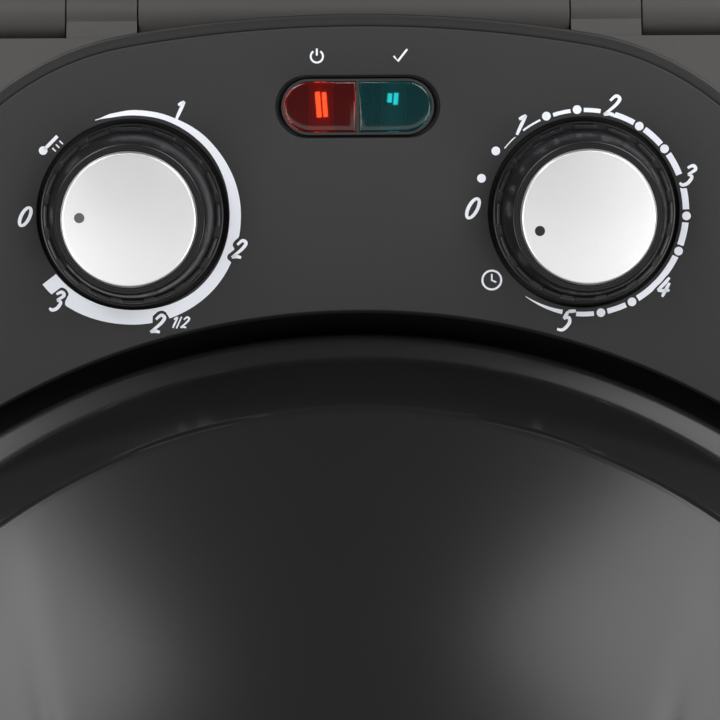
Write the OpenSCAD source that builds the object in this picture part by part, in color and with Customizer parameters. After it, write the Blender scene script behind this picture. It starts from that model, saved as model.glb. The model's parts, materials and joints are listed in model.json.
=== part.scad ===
// Countertop pizza maker: a round stone, heated from above and below, in a base under a hinged,
// domed lid. The lid carries the controls in a housing behind its dome. X is to the right, Y to
// the rear and Z up. Parts are drawn about the dome's axis, and at_dome() centres the whole.

/* [Baking stone] */
// Diameter of the baking stone
stone_d = 310; // [290:1:330]
// Thickness of the baking stone
stone_t = 12; // [8:1:14]
// Depth of the stone's face below the base's rim
stone_drop = 5; // [3:1:8]
// Gap between the stone's edge and the pan's wall
stone_gap = 2.5; // [1:0.5:4]
// Width of the step that carries the stone's edge
stone_step = 12; // [8:1:16]

/* [Sheet metal] */
// Thickness of the painted outer sheet
sheet_t = 1.5; // [1:0.1:2]
// Thickness of the bare inner sheet
liner_t = 1; // [0.8:0.1:1.4]
// Air gap between the inner and the outer walls
air_gap = 8; // [7:0.5:14]
// Radius of the rolled bead round the base's rim
bead_r = 2; // [1.5:0.1:3]

/* [Base] */
// Height of the base's rim over the table
base_rim_z = 90; // [86:1:110]
// Height of the base's underside over the table
base_floor_z = 20; // [16:1:24]
// Radius of the base's lower edge
base_corner_r = 10; // [6:1:14]
// Width of the flat ring under the base that carries the feet
base_lip_w = 34; // [30:1:40]
// Height of the pan's floor over the base's underside
pan_floor_rise = 24; // [18:1:26]
// Height of the lower heating tube over the pan's floor
lower_element_rise = 12; // [9:1:14]
// Number of vent slots in the bottom plate
vent_count = 18; // [8:1:24]
// Diameter of a foot
foot_d = 28; // [22:1:30]
// Sideways place of the front feet
foot_x = 98; // [90:1:104]

/* [Lid] */
// Seam between the base's rim and the lid
seam_gap = 0.3; // [0.2:0.1:0.6]
// Height of the lid's flange over the seam
flange_rise = 31.7; // [30:0.1:36]
// Width of the lid's flange, outside the dome
flange_w = 14; // [12:0.5:18]
// Height of the dome's rim over the flange
rim_rise = 12; // [10:0.5:14]
// Width of the dome's rim
rim_w = 7; // [5:0.5:9]
// Width of the slope inside the dome's rim
slope_w = 16; // [12:0.5:20]
// Height of the slope
slope_rise = 18; // [14:0.5:20]
// Rise of the shallow crown over the slope
crown_rise = 8; // [4:0.5:12]
// Height of the upper heating tube over the seam
upper_element_rise = 22; // [18:1:24]

/* [Heating tubes] */
// Outer diameter of a heating tube
tube_d = 6.5; // [5:0.1:8]
// Radius of a heating tube's outer loop
loop_out_r = 112; // [104:1:116]
// Radius of a heating tube's inner loop
loop_in_r = 74; // [66:1:80]
// Radius of the bend where a tube leaves its loop
lead_bend_r = 14; // [12:1:18]
// Thickness of a heating tube's clips
clip_t = 2; // [1.5:0.5:4]

/* [Control housing] */
// Tilt of the control panel
panel_tilt = 24; // [20:0.5:28]
// Gap in plan between the dome's rim and the panel's front edge
panel_gap = 1.7; // [1:0.1:4]
// Height of the panel's front edge over the dome's rim
panel_rise = 10; // [8:0.5:14]
// Radius of the panel's hollow front edge, in the panel's plane
panel_front_r = 165; // [160:1:180]
// Length of the panel from front to rear, along its slope
panel_len = 66.6; // [64:0.1:74]
// Radius of the housing's rear wall
rear_arc_r = 331; // [300:1:360]
// Radius of the housing's shoulders
shoulder_r = 68.1; // [66:0.1:70]
// Sideways place of the shoulders' centres
shoulder_x = 41.1; // [38:0.1:43]
// Wall of the housing
housing_t = 2.4; // [2:0.1:3]
// Width of the step round the panel's outer edge
step_w = 3.1; // [2:0.1:4]
// Depth of the step round the panel's outer edge
step_d = 1; // [0.6:0.1:1.6]

/* [Knobs] */
// Distance between the two knobs
knob_spacing = 100.4; // [98:0.1:106]
// Distance of the knobs' centres from the panel's front edge
knob_up = 21.7; // [21.5:0.1:24]
// Diameter of a knob's skirt
knob_d = 40.6; // [38:0.1:42]
// Height of a knob over the panel
knob_h = 15; // [13:0.5:20]
// Diameter of a knob's silver cap
cap_d = 30; // [28:0.1:31]
// Depth of the round pocket that a knob stands in
pocket_d = 3; // [2:0.1:4]
// Gap between a knob and its pocket's wall
pocket_gap = 0.9; // [0.5:0.1:1.4]
// Number of grip flats round a knob
grip_count = 16; // [12:1:20]
// Diameter of a control's spindle
spindle_d = 6; // [5:0.5:6]

/* [Pilot lights] */
// Distance of the lights' centre from the panel's front edge
lights_up = 45.4; // [44.5:0.1:46]
// Length of the two lenses together
lens_len = 32.7; // [30:0.1:34]
// Width of a lens
lens_w = 11.2; // [10:0.1:11.5]
// Border of the recess round the lenses
recess_border = 1.7; // [1.2:0.1:2.2]
// Depth of the recess
recess_d = 2.5; // [1.5:0.1:3]

/* [Rear cover and hinge] */
// Width of the base's hinge housing
box_w = 200; // [194:1:206]
// Wall of the rear cover and of the hinge housing
cover_t = 2; // [1.6:0.1:3]
// Height of the rear cover's top over the seam
cover_rise = 14.7; // [13.5:0.1:16]
// Distance of the rear cover's edge from the dome's axis
cover_y = 238; // [234:1:238]
// Distance of the hinge's axis from the dome's axis
hinge_y = 247; // [247:0.5:251]
// Radius of the hinge's barrel
barrel_r = 8; // [6.5:0.5:8]
// Height of the hinge's axis over the seam
hinge_rise = 5.7; // [5.7:0.1:7]
// Diameter of a hinge pin
pin_d = 5; // [4:0.5:6]
// Width of a hinge arm
arm_w = 17; // [12:1:20]
// Thickness of a hinge arm's plate
arm_t = 3; // [2:0.5:3.5]
// Sideways place of the hinge arms' centres
arm_x = 61; // [58:1:64]

/* [Handles] */
// Radius of the handles' outer edge, about the dome's axis
handle_r = 202; // [198:1:212]
// Width of the lid handle's bar
handle_w = 15; // [12:1:16]
// Thickness of the lid handle
handle_t = 14; // [11:1:16]
// Angle that the lid handle spans
handle_angle = 34; // [30:1:40]
// Height of the base grip
grip_h = 16; // [12:1:20]

/* [Fits] */
// Radial clearance of a pin or spindle that turns
run_clear = 0.05; // [0.03:0.01:0.08]
// Clearance between pieces that stand against curved walls
fit_clear = 0.1; // [0.05:0.05:0.2]

/* [Hidden] */
$fn = 96;

// Radii, from the stone outwards
pan_r = stone_d / 2 + stone_gap;
wall_in_r = pan_r + liner_t + air_gap;
wall_r = wall_in_r + sheet_t;
lip_in_r = pan_r + liner_t + 1.5;
dome_r = wall_r - flange_w;
crown_r = dome_r - rim_w - slope_w;

// Heights, from the table upwards
stone_z = base_rim_z - stone_drop - stone_t;
pan_floor_z = base_floor_z + pan_floor_rise;
lower_element_z = pan_floor_z + lower_element_rise;
seam_z = base_rim_z + seam_gap;
flange_z = seam_z + flange_rise;
dome_rim_z = flange_z + rim_rise;
crown_z = dome_rim_z + slope_rise;
upper_element_z = seam_z + upper_element_rise;
lid_lip_z = seam_z + 2;
liner_top_z = dome_rim_z + 2;

// Bottom plate and feet
plate_r = wall_r - base_corner_r - base_lip_w;
plate_lap = 10;
foot_ring_r = wall_r - base_corner_r - base_lip_w / 2;
bead_at_r = wall_r - 0.4;
foot_y = sqrt(foot_ring_r * foot_ring_r - foot_x * foot_x);
rear_foot_x = box_w / 2 - foot_d / 2 - 8;
rear_foot_y = hinge_y + barrel_r - foot_d / 2 - 8;

// Control panel: its plane passes through (0, panel_y, panel_z)
panel_y = dome_r + panel_gap;
panel_z = dome_rim_z + panel_rise;
rear_y = panel_y + panel_len * cos(panel_tilt);
arc_y = rear_y - rear_arc_r;
shoulder_y = arc_y + sqrt(pow(rear_arc_r - shoulder_r, 2) - shoulder_x * shoulder_x);
tangent_angle = atan2(shoulder_y - arc_y, shoulder_x);
tail_z = 2.7;
tail_y = panel_y - (panel_z - flange_z - tail_z) / tan(panel_tilt);
temp_x = -knob_spacing / 2;
timer_x = knob_spacing / 2;
pocket_r = knob_d / 2 + pocket_gap;
pocket_floor = pocket_d + housing_t;
bushing_r = 5;
nut_h = 2.4;
cap_seat = 1.8;
timer_floor = pocket_floor + 20;
bell_z = pocket_floor + 30;
bell_r = 15;
bell_h = 8;

// Rear cover, hinge and hinge housing
cover_z = seam_z + cover_rise;
cover_w = 2 * (shoulder_x + shoulder_r) + 3;
hinge_z = seam_z + hinge_rise;
box_rear_y = hinge_y + barrel_r;
box_top_z = hinge_z - barrel_r - 0.4;
corner_r = 6;
box_boss_in = 5.5;
knuckle_gap = 0.3;
pin_in_x = arm_x - arm_w / 2 - 9;
pin_out_x = arm_x + arm_w / 2 + 21;
arm_z = cover_z - cover_t - arm_t;
gland_flange_t = 3;
gland_r = 8;
cord_r = 3.8;
gland_x = 30;
gland_z = (base_floor_z + box_top_z) / 2;

// Heating tubes: half angles of the gaps between the loops' ends, at the front and the rear
front_half = 18;
rear_half = 16;
centre_r = loop_out_r + lead_bend_r;
lead_x = centre_r * sin(rear_half) - lead_bend_r;
lead_start_y = centre_r * cos(rear_half);
lead_end_y = wall_r + 9;
stud_len = 9;
stud_r = 1.6;
clip_angles = [30, 150, 215, 325];
bush_r = tube_d / 2 + 1.2;
bush_end = wall_r + 3;
liner_side_r = dome_r - 8;
pan_step_r = pan_r - stone_step;

stud_end_y = lead_end_y + stud_len;
block_y = (wall_r + box_rear_y) / 2;
wire_r = 1.5;
wire_end_y = stud_end_y + 1.6;
terminal_x = 15;
terminal_up = 8;

// Pilot lights
lens_floor = recess_d + 2;
collar_t = 0.6;
lamp_x = lens_len / 4;
lamp_r = 2.8;
holder_depth = 12;
lead_up = lights_up - 4;

// The thermostat's tube: where it turns, from the body to the bulb
bulb_r = 3;
tube_in_z = flange_z - 10;
tube_up_y = sqrt(pow((liner_side_r + liner_t + dome_r - sheet_t) / 2, 2) - temp_x * temp_x);
capillary = [
    [temp_x, panel_y + 10, flange_z + 8],
    [temp_x, panel_y + 10, tube_in_z],
    [temp_x, tube_up_y, tube_in_z],
    [temp_x, tube_up_y, dome_rim_z - 4.5],
    [temp_x + 5, wall_r - 50, liner_top_z + liner_t + bulb_r - 0.6],
    [temp_x + 5, wall_r - 58, liner_top_z + liner_t + bulb_r]
];

// Screws and other places that more than one piece uses
screw_r = 2;
screw_hole_r = 2.1;
screw_head_r = 3.4;
cover_screw_h = 12;
handle_screw_h = 15;
handle_z = seam_z + 17;
grip_z = (base_floor_z + base_rim_z) / 2 + 9;
handle_screw_angle = handle_angle / 2 - 3.5;
grip_half_angle = 14;
arm_wall_y = sqrt(wall_r * wall_r - arm_x * arm_x);
arm_wall_angle = atan2(arm_wall_y, arm_x);
arm_wall_screw_z = seam_z + 8.7;
arm_screw_ys = [rear_y - 24, rear_y - 15];
housing_bosses = [[92, 152], [80, 188]];

// A length past every piece, for cuts that go right through
far = 1.25 * handle_r;

// The whole is centred front to rear on its two extremes
dome_y = (handle_r - box_rear_y - gland_flange_t) / 2;

function arc(cx, cy, r, a0, a1, n) =
    [for (i = [0:n]) let (a = a0 + (a1 - a0) * i / n) [cx + r * cos(a), cy + r * sin(a)]];

// Corner points of a rectangle with round corners
function round_rect(w, h, r, n = 4) = concat(
    arc(w / 2 - r, h / 2 - r, r, 0, 90, n), arc(r - w / 2, h / 2 - r, r, 90, 180, n),
    arc(r - w / 2, r - h / 2, r, 180, 270, n), arc(w / 2 - r, r - h / 2, r, 270, 360, n));

function reversed(list) = [for (i = [len(list) - 1:-1:0]) list[i]];

// How far from the axis a bush's flange stands, inside a round wall of radius r
function bush_start(r) = sqrt(r * r - pow(lead_x + bush_r + 2, 2)) - 1.5;

// Angle, about a shoulder's centre, of the point where it meets the lid's wall
function notch_angle(g) =
    let (d = norm([shoulder_x, shoulder_y]), lid = wall_r - g, r = shoulder_r - g,
        along = (lid * lid - r * r + d * d) / (2 * d), side = sqrt(lid * lid - along * along),
        x = (along * shoulder_x + side * shoulder_y) / d,
        y = (along * shoulder_y - side * shoulder_x) / d)
    [atan2(y - shoulder_y, x - shoulder_x), atan2(y, x)];

// Right half of the housing's outline, from the rear's middle to the tail, drawn in by g
function half_outline(g) =
    let (notch = notch_angle(g))
    concat(
        arc(0, arc_y, rear_arc_r - g, 90, tangent_angle, 6),
        arc(shoulder_x, shoulder_y, shoulder_r - g, tangent_angle - 4, notch[0], 18),
        arc(0, 0, wall_r - g, notch[1] - 1, asin((tail_y + g) / (wall_r - g)), 5));

function housing_outline(g) =
    let (half = half_outline(g))
    concat(half, [for (p = reversed(half)) if (p[0] > 0.01) [-p[0], p[1]]]);

module at_dome() {
    translate([0, dome_y, 0]) children();
}

// The panel's own frame: X right, Y up the slope, Z out of the panel
module on_panel(x = 0, y = 0) {
    translate([0, panel_y, panel_z]) rotate([panel_tilt, 0, 0]) translate([x, y, 0]) children();
}

module mirrored_pair() {
    children();
    mirror([1, 0, 0]) children();
}

// A straight round rod from p to q, with a ball at q
module rod(p, q, r, ball = true) {
    v = q - p;
    translate(p)
        rotate([0, acos(v[2] / norm(v)), atan2(v[1], v[0])])
            cylinder(h = norm(v), r = r, $fn = 24);
    if (ball) translate(q) sphere(r = r * 1.08, $fn = 24);
}

// A pan-head screw: the shank points up from the head's top at z = 0
module screw(shank_r, shank_h, head_r, head_h) {
    translate([0, 0, -head_h / 2]) cylinder(h = shank_h + head_h / 2, r = shank_r, $fn = 24);
    translate([0, 0, -head_h]) cylinder(h = head_h, r = head_r, $fn = 32);
}

module stadium(len, w) {
    hull_len = len - w;
    square([hull_len, w], center = true);
    for (s = [-1, 1]) translate([s * hull_len / 2, 0]) circle(d = w);
}

// Plan of the hinge housing and the rear cover, drawn in by g: round at the rear corners
module box_plan(w, rear, g) {
    r = corner_r - g;
    front = wall_r * 0.7;
    translate([-w / 2 + g, front]) square([w - 2 * g, rear - corner_r - front]);
    translate([-w / 2 + corner_r, front]) square([w - 2 * corner_r, rear - g - front]);
    for (s = [-1, 1]) translate([s * (w / 2 - corner_r), rear - corner_r]) circle(r = r);
}

/* Base */

module base_shell() {
    top = base_rim_z - liner_t;
    c = base_corner_r;
    floor_in = base_floor_z + sheet_t;
    color([0.09, 0.09, 0.1]) at_dome() difference() {
        union() {
            rotate_extrude() polygon(concat(
                [[plate_r, base_floor_z]],
                arc(wall_r - c, base_floor_z + c, c, 270, 360, 6),
                [[wall_r, top], [lip_in_r, top], [lip_in_r, top - sheet_t],
                 [wall_in_r, top - sheet_t]],
                arc(wall_r - c, base_floor_z + c, c - sheet_t, 360, 270, 6),
                [[plate_r, floor_in]]));
            rotate_extrude() translate([bead_at_r, top - bead_r]) circle(r = bead_r, $fn = 32);
        }
        lead_holes(lower_element_z, wall_in_r - 5);
        base_screw_places() translate([0, 0, -1]) cylinder(h = 6, r = 2, $fn = 24);
        foot_places() translate([0, 0, base_floor_z - 1]) cylinder(h = 6, r = 2.1, $fn = 24);
        grip_screw_places() translate([0, 0, -8]) cylinder(h = 12, r = 2.1, $fn = 24);
    }
}

module lead_holes(z, from) {
    for (s = [-1, 1]) translate([s * lead_x, from, z])
        rotate([-90, 0, 0]) cylinder(h = 20, r = bush_r + run_clear, $fn = 32);
}

module base_screw_places() {
    for (i = [0:7]) rotate([0, 0, 22.5 + 45 * i])
        translate([plate_r + plate_lap / 2, 0, base_floor_z]) children();
}

module foot_places() {
    for (s = [-1, 1]) translate([s * foot_x, -foot_y, 0]) children();
}

module bottom_plate() {
    z = base_floor_z + sheet_t;
    color([0.55, 0.56, 0.57]) at_dome() difference() {
        translate([0, 0, z]) cylinder(h = liner_t, r = plate_r + plate_lap);
        for (i = [0:vent_count - 1]) rotate([0, 0, i * 360 / vent_count])
            translate([plate_r * 0.55, -2, z - 1]) cube([plate_r * 0.3, 4, liner_t + 2]);
        base_screw_places() cylinder(h = 6, r = 2, $fn = 24);
    }
}

module bottom_screws() {
    color([0.7, 0.7, 0.7]) at_dome() base_screw_places() screw(1.9, 7, 3.4, 1.8);
}

module foot_body() {
    difference() {
        cylinder(h = base_floor_z, r1 = foot_d / 2 - 2, r2 = foot_d / 2);
        translate([0, 0, -1]) cylinder(h = 8, r = 5, $fn = 32);
        cylinder(h = base_floor_z + 1, r = 2.2, $fn = 24);
    }
}

module feet() {
    color([0.06, 0.06, 0.06]) at_dome() {
        foot_places() foot_body();
        for (s = [-1, 1]) translate([s * rear_foot_x, rear_foot_y, 0]) foot_body();
    }
}

module foot_screws() {
    color([0.7, 0.7, 0.7]) at_dome() {
        foot_places() translate([0, 0, 7]) foot_screw();
        for (s = [-1, 1]) translate([s * rear_foot_x, rear_foot_y, 7]) foot_screw();
    }
}

module foot_screw() {
    translate([0, 0, -2.5]) cylinder(h = 2.5, r = 4, $fn = 32);
    translate([0, 0, -0.01]) cylinder(h = base_floor_z - 7 + 5.01, r = 2, $fn = 24);
}

module base_liner() {
    step_r = pan_step_r;
    c = 6;
    t = liner_t;
    color([0.72, 0.73, 0.74]) at_dome() difference() {
        rotate_extrude() polygon(concat(
            [[0, pan_floor_z - t], [step_r - c, pan_floor_z - t]],
            arc(step_r - c, pan_floor_z + c, c + t, 270, 360, 4),
            [[step_r + t, stone_z - t], [pan_r + t, stone_z - t],
             [pan_r + t, base_rim_z - t], [wall_r - bead_r, base_rim_z - t],
             [wall_r - bead_r, base_rim_z], [pan_r, base_rim_z], [pan_r, stone_z],
             [step_r, stone_z]],
            arc(step_r - c, pan_floor_z + c, c, 360, 270, 4),
            [[0, pan_floor_z]]));
        lead_holes(lower_element_z, step_r - 8);
    }
}

module stone() {
    r = stone_d / 2;
    c = 2;
    color([0.82, 0.72, 0.6]) at_dome() rotate_extrude() polygon(concat(
        [[0, stone_z], [r - c, stone_z]], arc(r - c, stone_z + c, c, 300, 360, 2),
        arc(r - c, stone_z + stone_t - c, c, 0, 90, 3), [[0, stone_z + stone_t]]));
}

/* Heating tubes: a double loop, open at the front, with both ends leaving to the rear */

module heating_tube() {
    mid_r = (loop_out_r + loop_in_r) / 2;
    turn_r = (loop_out_r - loop_in_r) / 2;
    rotate([0, 0, front_half - 90]) tube_arc(loop_in_r, 360 - 2 * front_half);
    mirrored_pair() {
        rotate([0, 0, front_half - 90]) translate([mid_r, 0, 0]) rotate([0, 0, 180])
            tube_arc(turn_r, 180);
        rotate([0, 0, front_half - 90]) tube_arc(loop_out_r, 180 - front_half - rear_half);
        translate([centre_r * sin(rear_half), lead_start_y, 0]) rotate([0, 0, 180])
            tube_arc(lead_bend_r, 90 - rear_half);
        for (r = [loop_in_r, loop_out_r]) rotate([0, 0, front_half - 90]) tube_joint(r);
        rotate([0, 0, 90 - rear_half]) tube_joint(loop_out_r);
        translate([lead_x, lead_start_y, 0]) rotate([-90, 0, 0]) {
            cylinder(h = lead_end_y - lead_start_y, d = tube_d, $fn = 32);
            cylinder(h = lead_end_y - lead_start_y + stud_len, r = stud_r, $fn = 24);
        }
    }
}

// The slight swelling where two stretches of a tube meet
module tube_joint(r) {
    translate([r, 0, 0]) rotate([90, 0, 0])
        cylinder(h = 3, r = tube_d / 2 + 0.3, center = true, $fn = 32);
}

module tube_arc(r, angle) {
    rotate_extrude(angle = angle) translate([r, 0]) circle(d = tube_d, $fn = 32);
}

// Plates that stand across both loops, from z_low to z_high, with a hole for each loop
module tube_clips(z_low, z_high, z_tube) {
    in_r = loop_in_r - 8;
    out_r = loop_out_r + 7;
    for (a = clip_angles) rotate([0, 0, a]) difference() {
        translate([in_r, -clip_t / 2, z_low]) cube([out_r - in_r, clip_t, z_high - z_low]);
        for (r = [loop_in_r, loop_out_r]) translate([r, 0, z_tube]) rotate([90, 0, 0])
            cylinder(h = 30, d = tube_d + 2 * fit_clear, center = true, $fn = 32);
    }
}

// Bushes that hold a tube's leads in a wall that spans the distances near and far
module lead_bushes(z, near, far) {
    for (s = [-1, 1]) translate([s * lead_x, near, z]) rotate([-90, 0, 0]) difference() {
        union() {
            cylinder(h = far - near, r = bush_r, $fn = 32);
            cylinder(h = 1.5, r = bush_r + 2, $fn = 32);
        }
        translate([0, 0, -1]) cylinder(h = far - near + 2, d = tube_d + 2 * run_clear, $fn = 32);
    }
}

module lower_element() {
    color([0.25, 0.24, 0.24]) at_dome() translate([0, 0, lower_element_z]) heating_tube();
}

module upper_element() {
    color([0.25, 0.24, 0.24]) at_dome() translate([0, 0, upper_element_z]) heating_tube();
}

module lower_clips() {
    color([0.7, 0.7, 0.7]) at_dome()
        tube_clips(pan_floor_z, lower_element_z + tube_d / 2 + 2, lower_element_z);
}

module upper_clips() {
    color([0.7, 0.7, 0.7]) at_dome()
        tube_clips(upper_element_z - tube_d / 2 - 2, liner_top_z, upper_element_z);
}

module lower_bushes() {
    color([0.85, 0.84, 0.8]) at_dome() lead_bushes(lower_element_z, bush_start(pan_step_r), bush_end);
}

module upper_bushes() {
    color([0.85, 0.84, 0.8]) at_dome() lead_bushes(upper_element_z, bush_start(liner_side_r), bush_end);
}

/* Lid */

// The lid's outline from the seam to the crown, drawn in by g
function lid_profile(g) = concat(
    [[wall_r - g, seam_z]], arc(wall_r - 2, flange_z - 2, 2 - g, 0, 90, 3),
    [[dome_r + 1.2 - g * 0.5, flange_z - g], [dome_r - g, flange_z + 1.2 - g * 0.5]],
    arc(dome_r - 2, dome_rim_z - 2, 2 - g, 0, 90, 4),
    [[dome_r - rim_w, dome_rim_z - g], [dome_r - rim_w - slope_w * 0.15,
      dome_rim_z + slope_rise * 0.1 - g], [crown_r + slope_w * 0.1, crown_z - slope_rise * 0.06 - g]],
    crown_arc(g));

// The crown: a shallow arc from the slope's top to the axis
function crown_arc(g) =
    let (r = (crown_r * crown_r + crown_rise * crown_rise) / (2 * crown_rise),
        top = crown_z + crown_rise - g, start = asin(crown_r / r))
    [for (i = [0:10]) let (a = start * (1 - i / 10)) [r * sin(a), top - r * (1 - cos(a))]];

module lid_shell() {
    t = sheet_t;
    lip = [[wall_in_r, lid_lip_z + t], [lip_in_r, lid_lip_z + t], [lip_in_r, lid_lip_z],
        [wall_in_r, lid_lip_z], [wall_in_r, seam_z]];
    inner = [for (p = lid_profile(t)) if (p[1] > lid_lip_z + t) p];
    color([0.08, 0.08, 0.08]) at_dome() difference() {
        rotate_extrude() polygon(concat(lid_profile(0), reversed(inner), lip));
        lead_holes(upper_element_z, wall_in_r - 5);
        liner_screw_places() translate([0, 0, -3]) cylinder(h = 8, r = 1.7, $fn = 24);
        capillary_hole();
        handle_screw_places() translate([0, 0, -8]) cylinder(h = 12, r = 2.1, $fn = 24);
        arm_wall_screw_places() translate([0, 0, -8]) cylinder(h = 12, r = 2.1, $fn = 24);
    }
}

module capillary_hole() {
    translate([temp_x, capillary[1][1], tube_in_z]) rotate([90, 0, 0])
        cylinder(h = 14, r = 2.5, $fn = 24);
}

module liner_screw_places() {
    for (i = [0:7]) rotate([0, 0, 22.5 + 45 * i])
        translate([(lip_in_r + wall_in_r) / 2, 0, lid_lip_z]) children();
}

module lid_liner() {
    t = liner_t;
    base_z = lid_lip_z + sheet_t;
    side_top = upper_element_z + 10;
    in = [[pan_r, base_z], [pan_r, base_z + 3], [liner_side_r, base_z + 8],
        [liner_side_r, side_top], [crown_r - 5, liner_top_z], [0, liner_top_z]];
    out = [[0, liner_top_z + t], [crown_r - 5 + t * 0.5, liner_top_z + t],
        [liner_side_r + t, side_top + t * 0.5], [liner_side_r + t, base_z + 8 + t * 0.5],
        [pan_r + t, base_z + 3 + t * 0.5], [pan_r + t, base_z + t],
        [wall_in_r - fit_clear, base_z + t], [wall_in_r - fit_clear, base_z]];
    color([0.72, 0.73, 0.74]) at_dome() difference() {
        rotate_extrude() polygon(concat(in, out));
        lead_holes(upper_element_z, liner_side_r - 8);
        liner_screw_places() cylinder(h = 8, r = 1.7, $fn = 24);
    }
}

module liner_screws() {
    color([0.7, 0.7, 0.7]) at_dome() liner_screw_places() screw(1.6, 5, 2.6, 1.4);
}

// Places on a round wall's inner face; the local Z points outwards
module wall_place(angle, z) {
    rotate([0, 0, angle]) translate([wall_in_r, 0, z]) rotate([0, 90, 0]) children();
}

module handle_screw_places() {
    for (s = [-1, 1]) wall_place(s * handle_screw_angle - 90, handle_z) children();
}

module grip_screw_places() {
    for (s = [-1, 1]) wall_place(s * (grip_half_angle - 5) - 90, grip_z) children();
}

module arm_wall_screw_places() {
    for (a = [arm_wall_angle, 180 - arm_wall_angle]) wall_place(a, arm_wall_screw_z) children();
}

module lid_handle() {
    mid_r = handle_r - handle_w / 2;
    leg_w = 13;
    color([0.05, 0.05, 0.05]) at_dome() translate([0, 0, handle_z]) difference() {
        union() {
            rotate([0, 0, -90 - handle_angle / 2]) rotate_extrude(angle = handle_angle)
                translate([mid_r, 0]) polygon(round_rect(handle_w, handle_t, 4));
            for (s = [-1, 1]) rotate([0, 0, s * handle_screw_angle - 90])
                translate([wall_r - 3, 0, 0]) rotate([0, 90, 0])
                    linear_extrude(mid_r - wall_r + 3) polygon(round_rect(handle_t, leg_w, 2.5));
        }
        translate([0, 0, -handle_t]) cylinder(h = 2 * handle_t, r = wall_r + fit_clear);
        translate([0, 0, -handle_z]) handle_screw_places()
            cylinder(h = 18, r = screw_r + run_clear, $fn = 24);
    }
}

module handle_screws() {
    color([0.7, 0.7, 0.7]) at_dome() handle_screw_places() wall_screw(handle_screw_h);
}

// A screw from inside a round wall, whose head stands clear of the wall's curve
module wall_screw(shank_h) {
    translate([0, 0, -0.2]) screw(screw_r, shank_h, screw_head_r, 1.8);
}

module base_grip() {
    depth = handle_r - 8 - wall_r;
    color([0.05, 0.05, 0.05]) at_dome() translate([0, 0, grip_z - grip_h / 2]) difference() {
        rotate([0, 0, -90 - grip_half_angle]) rotate_extrude(angle = 2 * grip_half_angle)
            translate([wall_r + fit_clear + depth / 2, grip_h / 2])
                polygon(round_rect(depth, grip_h, 3));
        rotate([0, 0, -90 - grip_half_angle + 1.5])
            rotate_extrude(angle = 2 * grip_half_angle - 3)
                translate([wall_r + 8, -1]) square([depth - 11, grip_h - 3]);
        translate([0, 0, grip_h / 2 - grip_z]) grip_screw_places()
            cylinder(h = 8, r = screw_r + run_clear, $fn = 24);
    }
}

module grip_screws() {
    color([0.7, 0.7, 0.7]) at_dome() grip_screw_places() wall_screw(7);
}

/* Rear cover, hinge arms and pins */

module rear_cover() {
    color([0.24, 0.23, 0.22]) at_dome() difference() {
        translate([0, 0, seam_z]) linear_extrude(cover_rise) box_plan(cover_w, cover_y, 0);
        translate([0, 0, seam_z - 1]) linear_extrude(cover_rise + 1 - cover_t)
            box_plan(cover_w, cover_y, cover_t);
        translate([0, 0, seam_z - 1]) cylinder(h = 40, r = wall_r + fit_clear);
        for (s = [-1, 1]) translate([s * arm_x, cover_y, 0])
            translate([-arm_w / 2 - knuckle_gap, -6, seam_z - 1])
                cube([arm_w + 2 * knuckle_gap, 12, cover_rise + 1 - cover_t]);
        arm_screw_places() cylinder(h = 30, r = screw_hole_r, center = true, $fn = 24);
        housing_screw_places() cylinder(h = 30, r = screw_hole_r, center = true, $fn = 24);
    }
}

module arm_screw_places() {
    for (s = [-1, 1]) for (y = arm_screw_ys) translate([s * arm_x, y, arm_z]) children();
}

module housing_screw_places() {
    for (s = [-1, 1]) for (b = housing_bosses)
        translate([s * b[0], b[1], cover_z - cover_t]) children();
}

module hinge_arm() {
    in = arm_wall_y - 3;
    color([0.6, 0.6, 0.6]) at_dome() difference() {
        union() {
            translate([arm_x - arm_w / 2, in, arm_z]) cube([arm_w, hinge_y - in, arm_t]);
            translate([arm_x - arm_w / 2, hinge_y, hinge_z]) rotate([0, 90, 0])
                cylinder(h = arm_w, r = barrel_r);
            intersection() {
                translate([arm_x - arm_w / 2, in - 10, seam_z + 3])
                    cube([arm_w, 30, arm_z - seam_z - 2]);
                cylinder(h = 200, r = wall_r + 4);
            }
        }
        cylinder(h = 200, r = wall_r + fit_clear);
        translate([arm_x - arm_w, hinge_y, hinge_z]) rotate([0, 90, 0])
            cylinder(h = 2 * arm_w, r = pin_d / 2 + run_clear, $fn = 48);
        arm_screw_places() cylinder(h = 30, r = screw_hole_r, center = true, $fn = 24);
        arm_wall_screw_places() cylinder(h = 12, r = screw_hole_r, $fn = 24);
    }
}

module hinge_arm_right() {
    hinge_arm();
}

module hinge_arm_left() {
    mirror([1, 0, 0]) hinge_arm();
}

module arm_screws() {
    color([0.7, 0.7, 0.7]) at_dome() {
        arm_screw_places() screw(screw_r, arm_t + cover_t + 5, screw_head_r, 1.8);
        arm_wall_screw_places() wall_screw(8);
    }
}

module arm_nuts() {
    color([0.7, 0.7, 0.7]) at_dome() arm_screw_places()
        translate([0, 0, arm_t + cover_t]) nut(3.6, screw_r, 2.4);
}

module nut(r, bore_r, h) {
    difference() {
        cylinder(h = h, r = r, $fn = 6);
        translate([0, 0, -1]) cylinder(h = h + 2, r = bore_r + run_clear, $fn = 24);
    }
}

module hinge_pins() {
    color([0.7, 0.7, 0.7]) at_dome() for (s = [-1, 1])
        translate([s * pin_in_x, hinge_y, hinge_z]) rotate([0, s * 90, 0])
            cylinder(h = pin_out_x - pin_in_x + 3, d = pin_d, $fn = 48);
}

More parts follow.
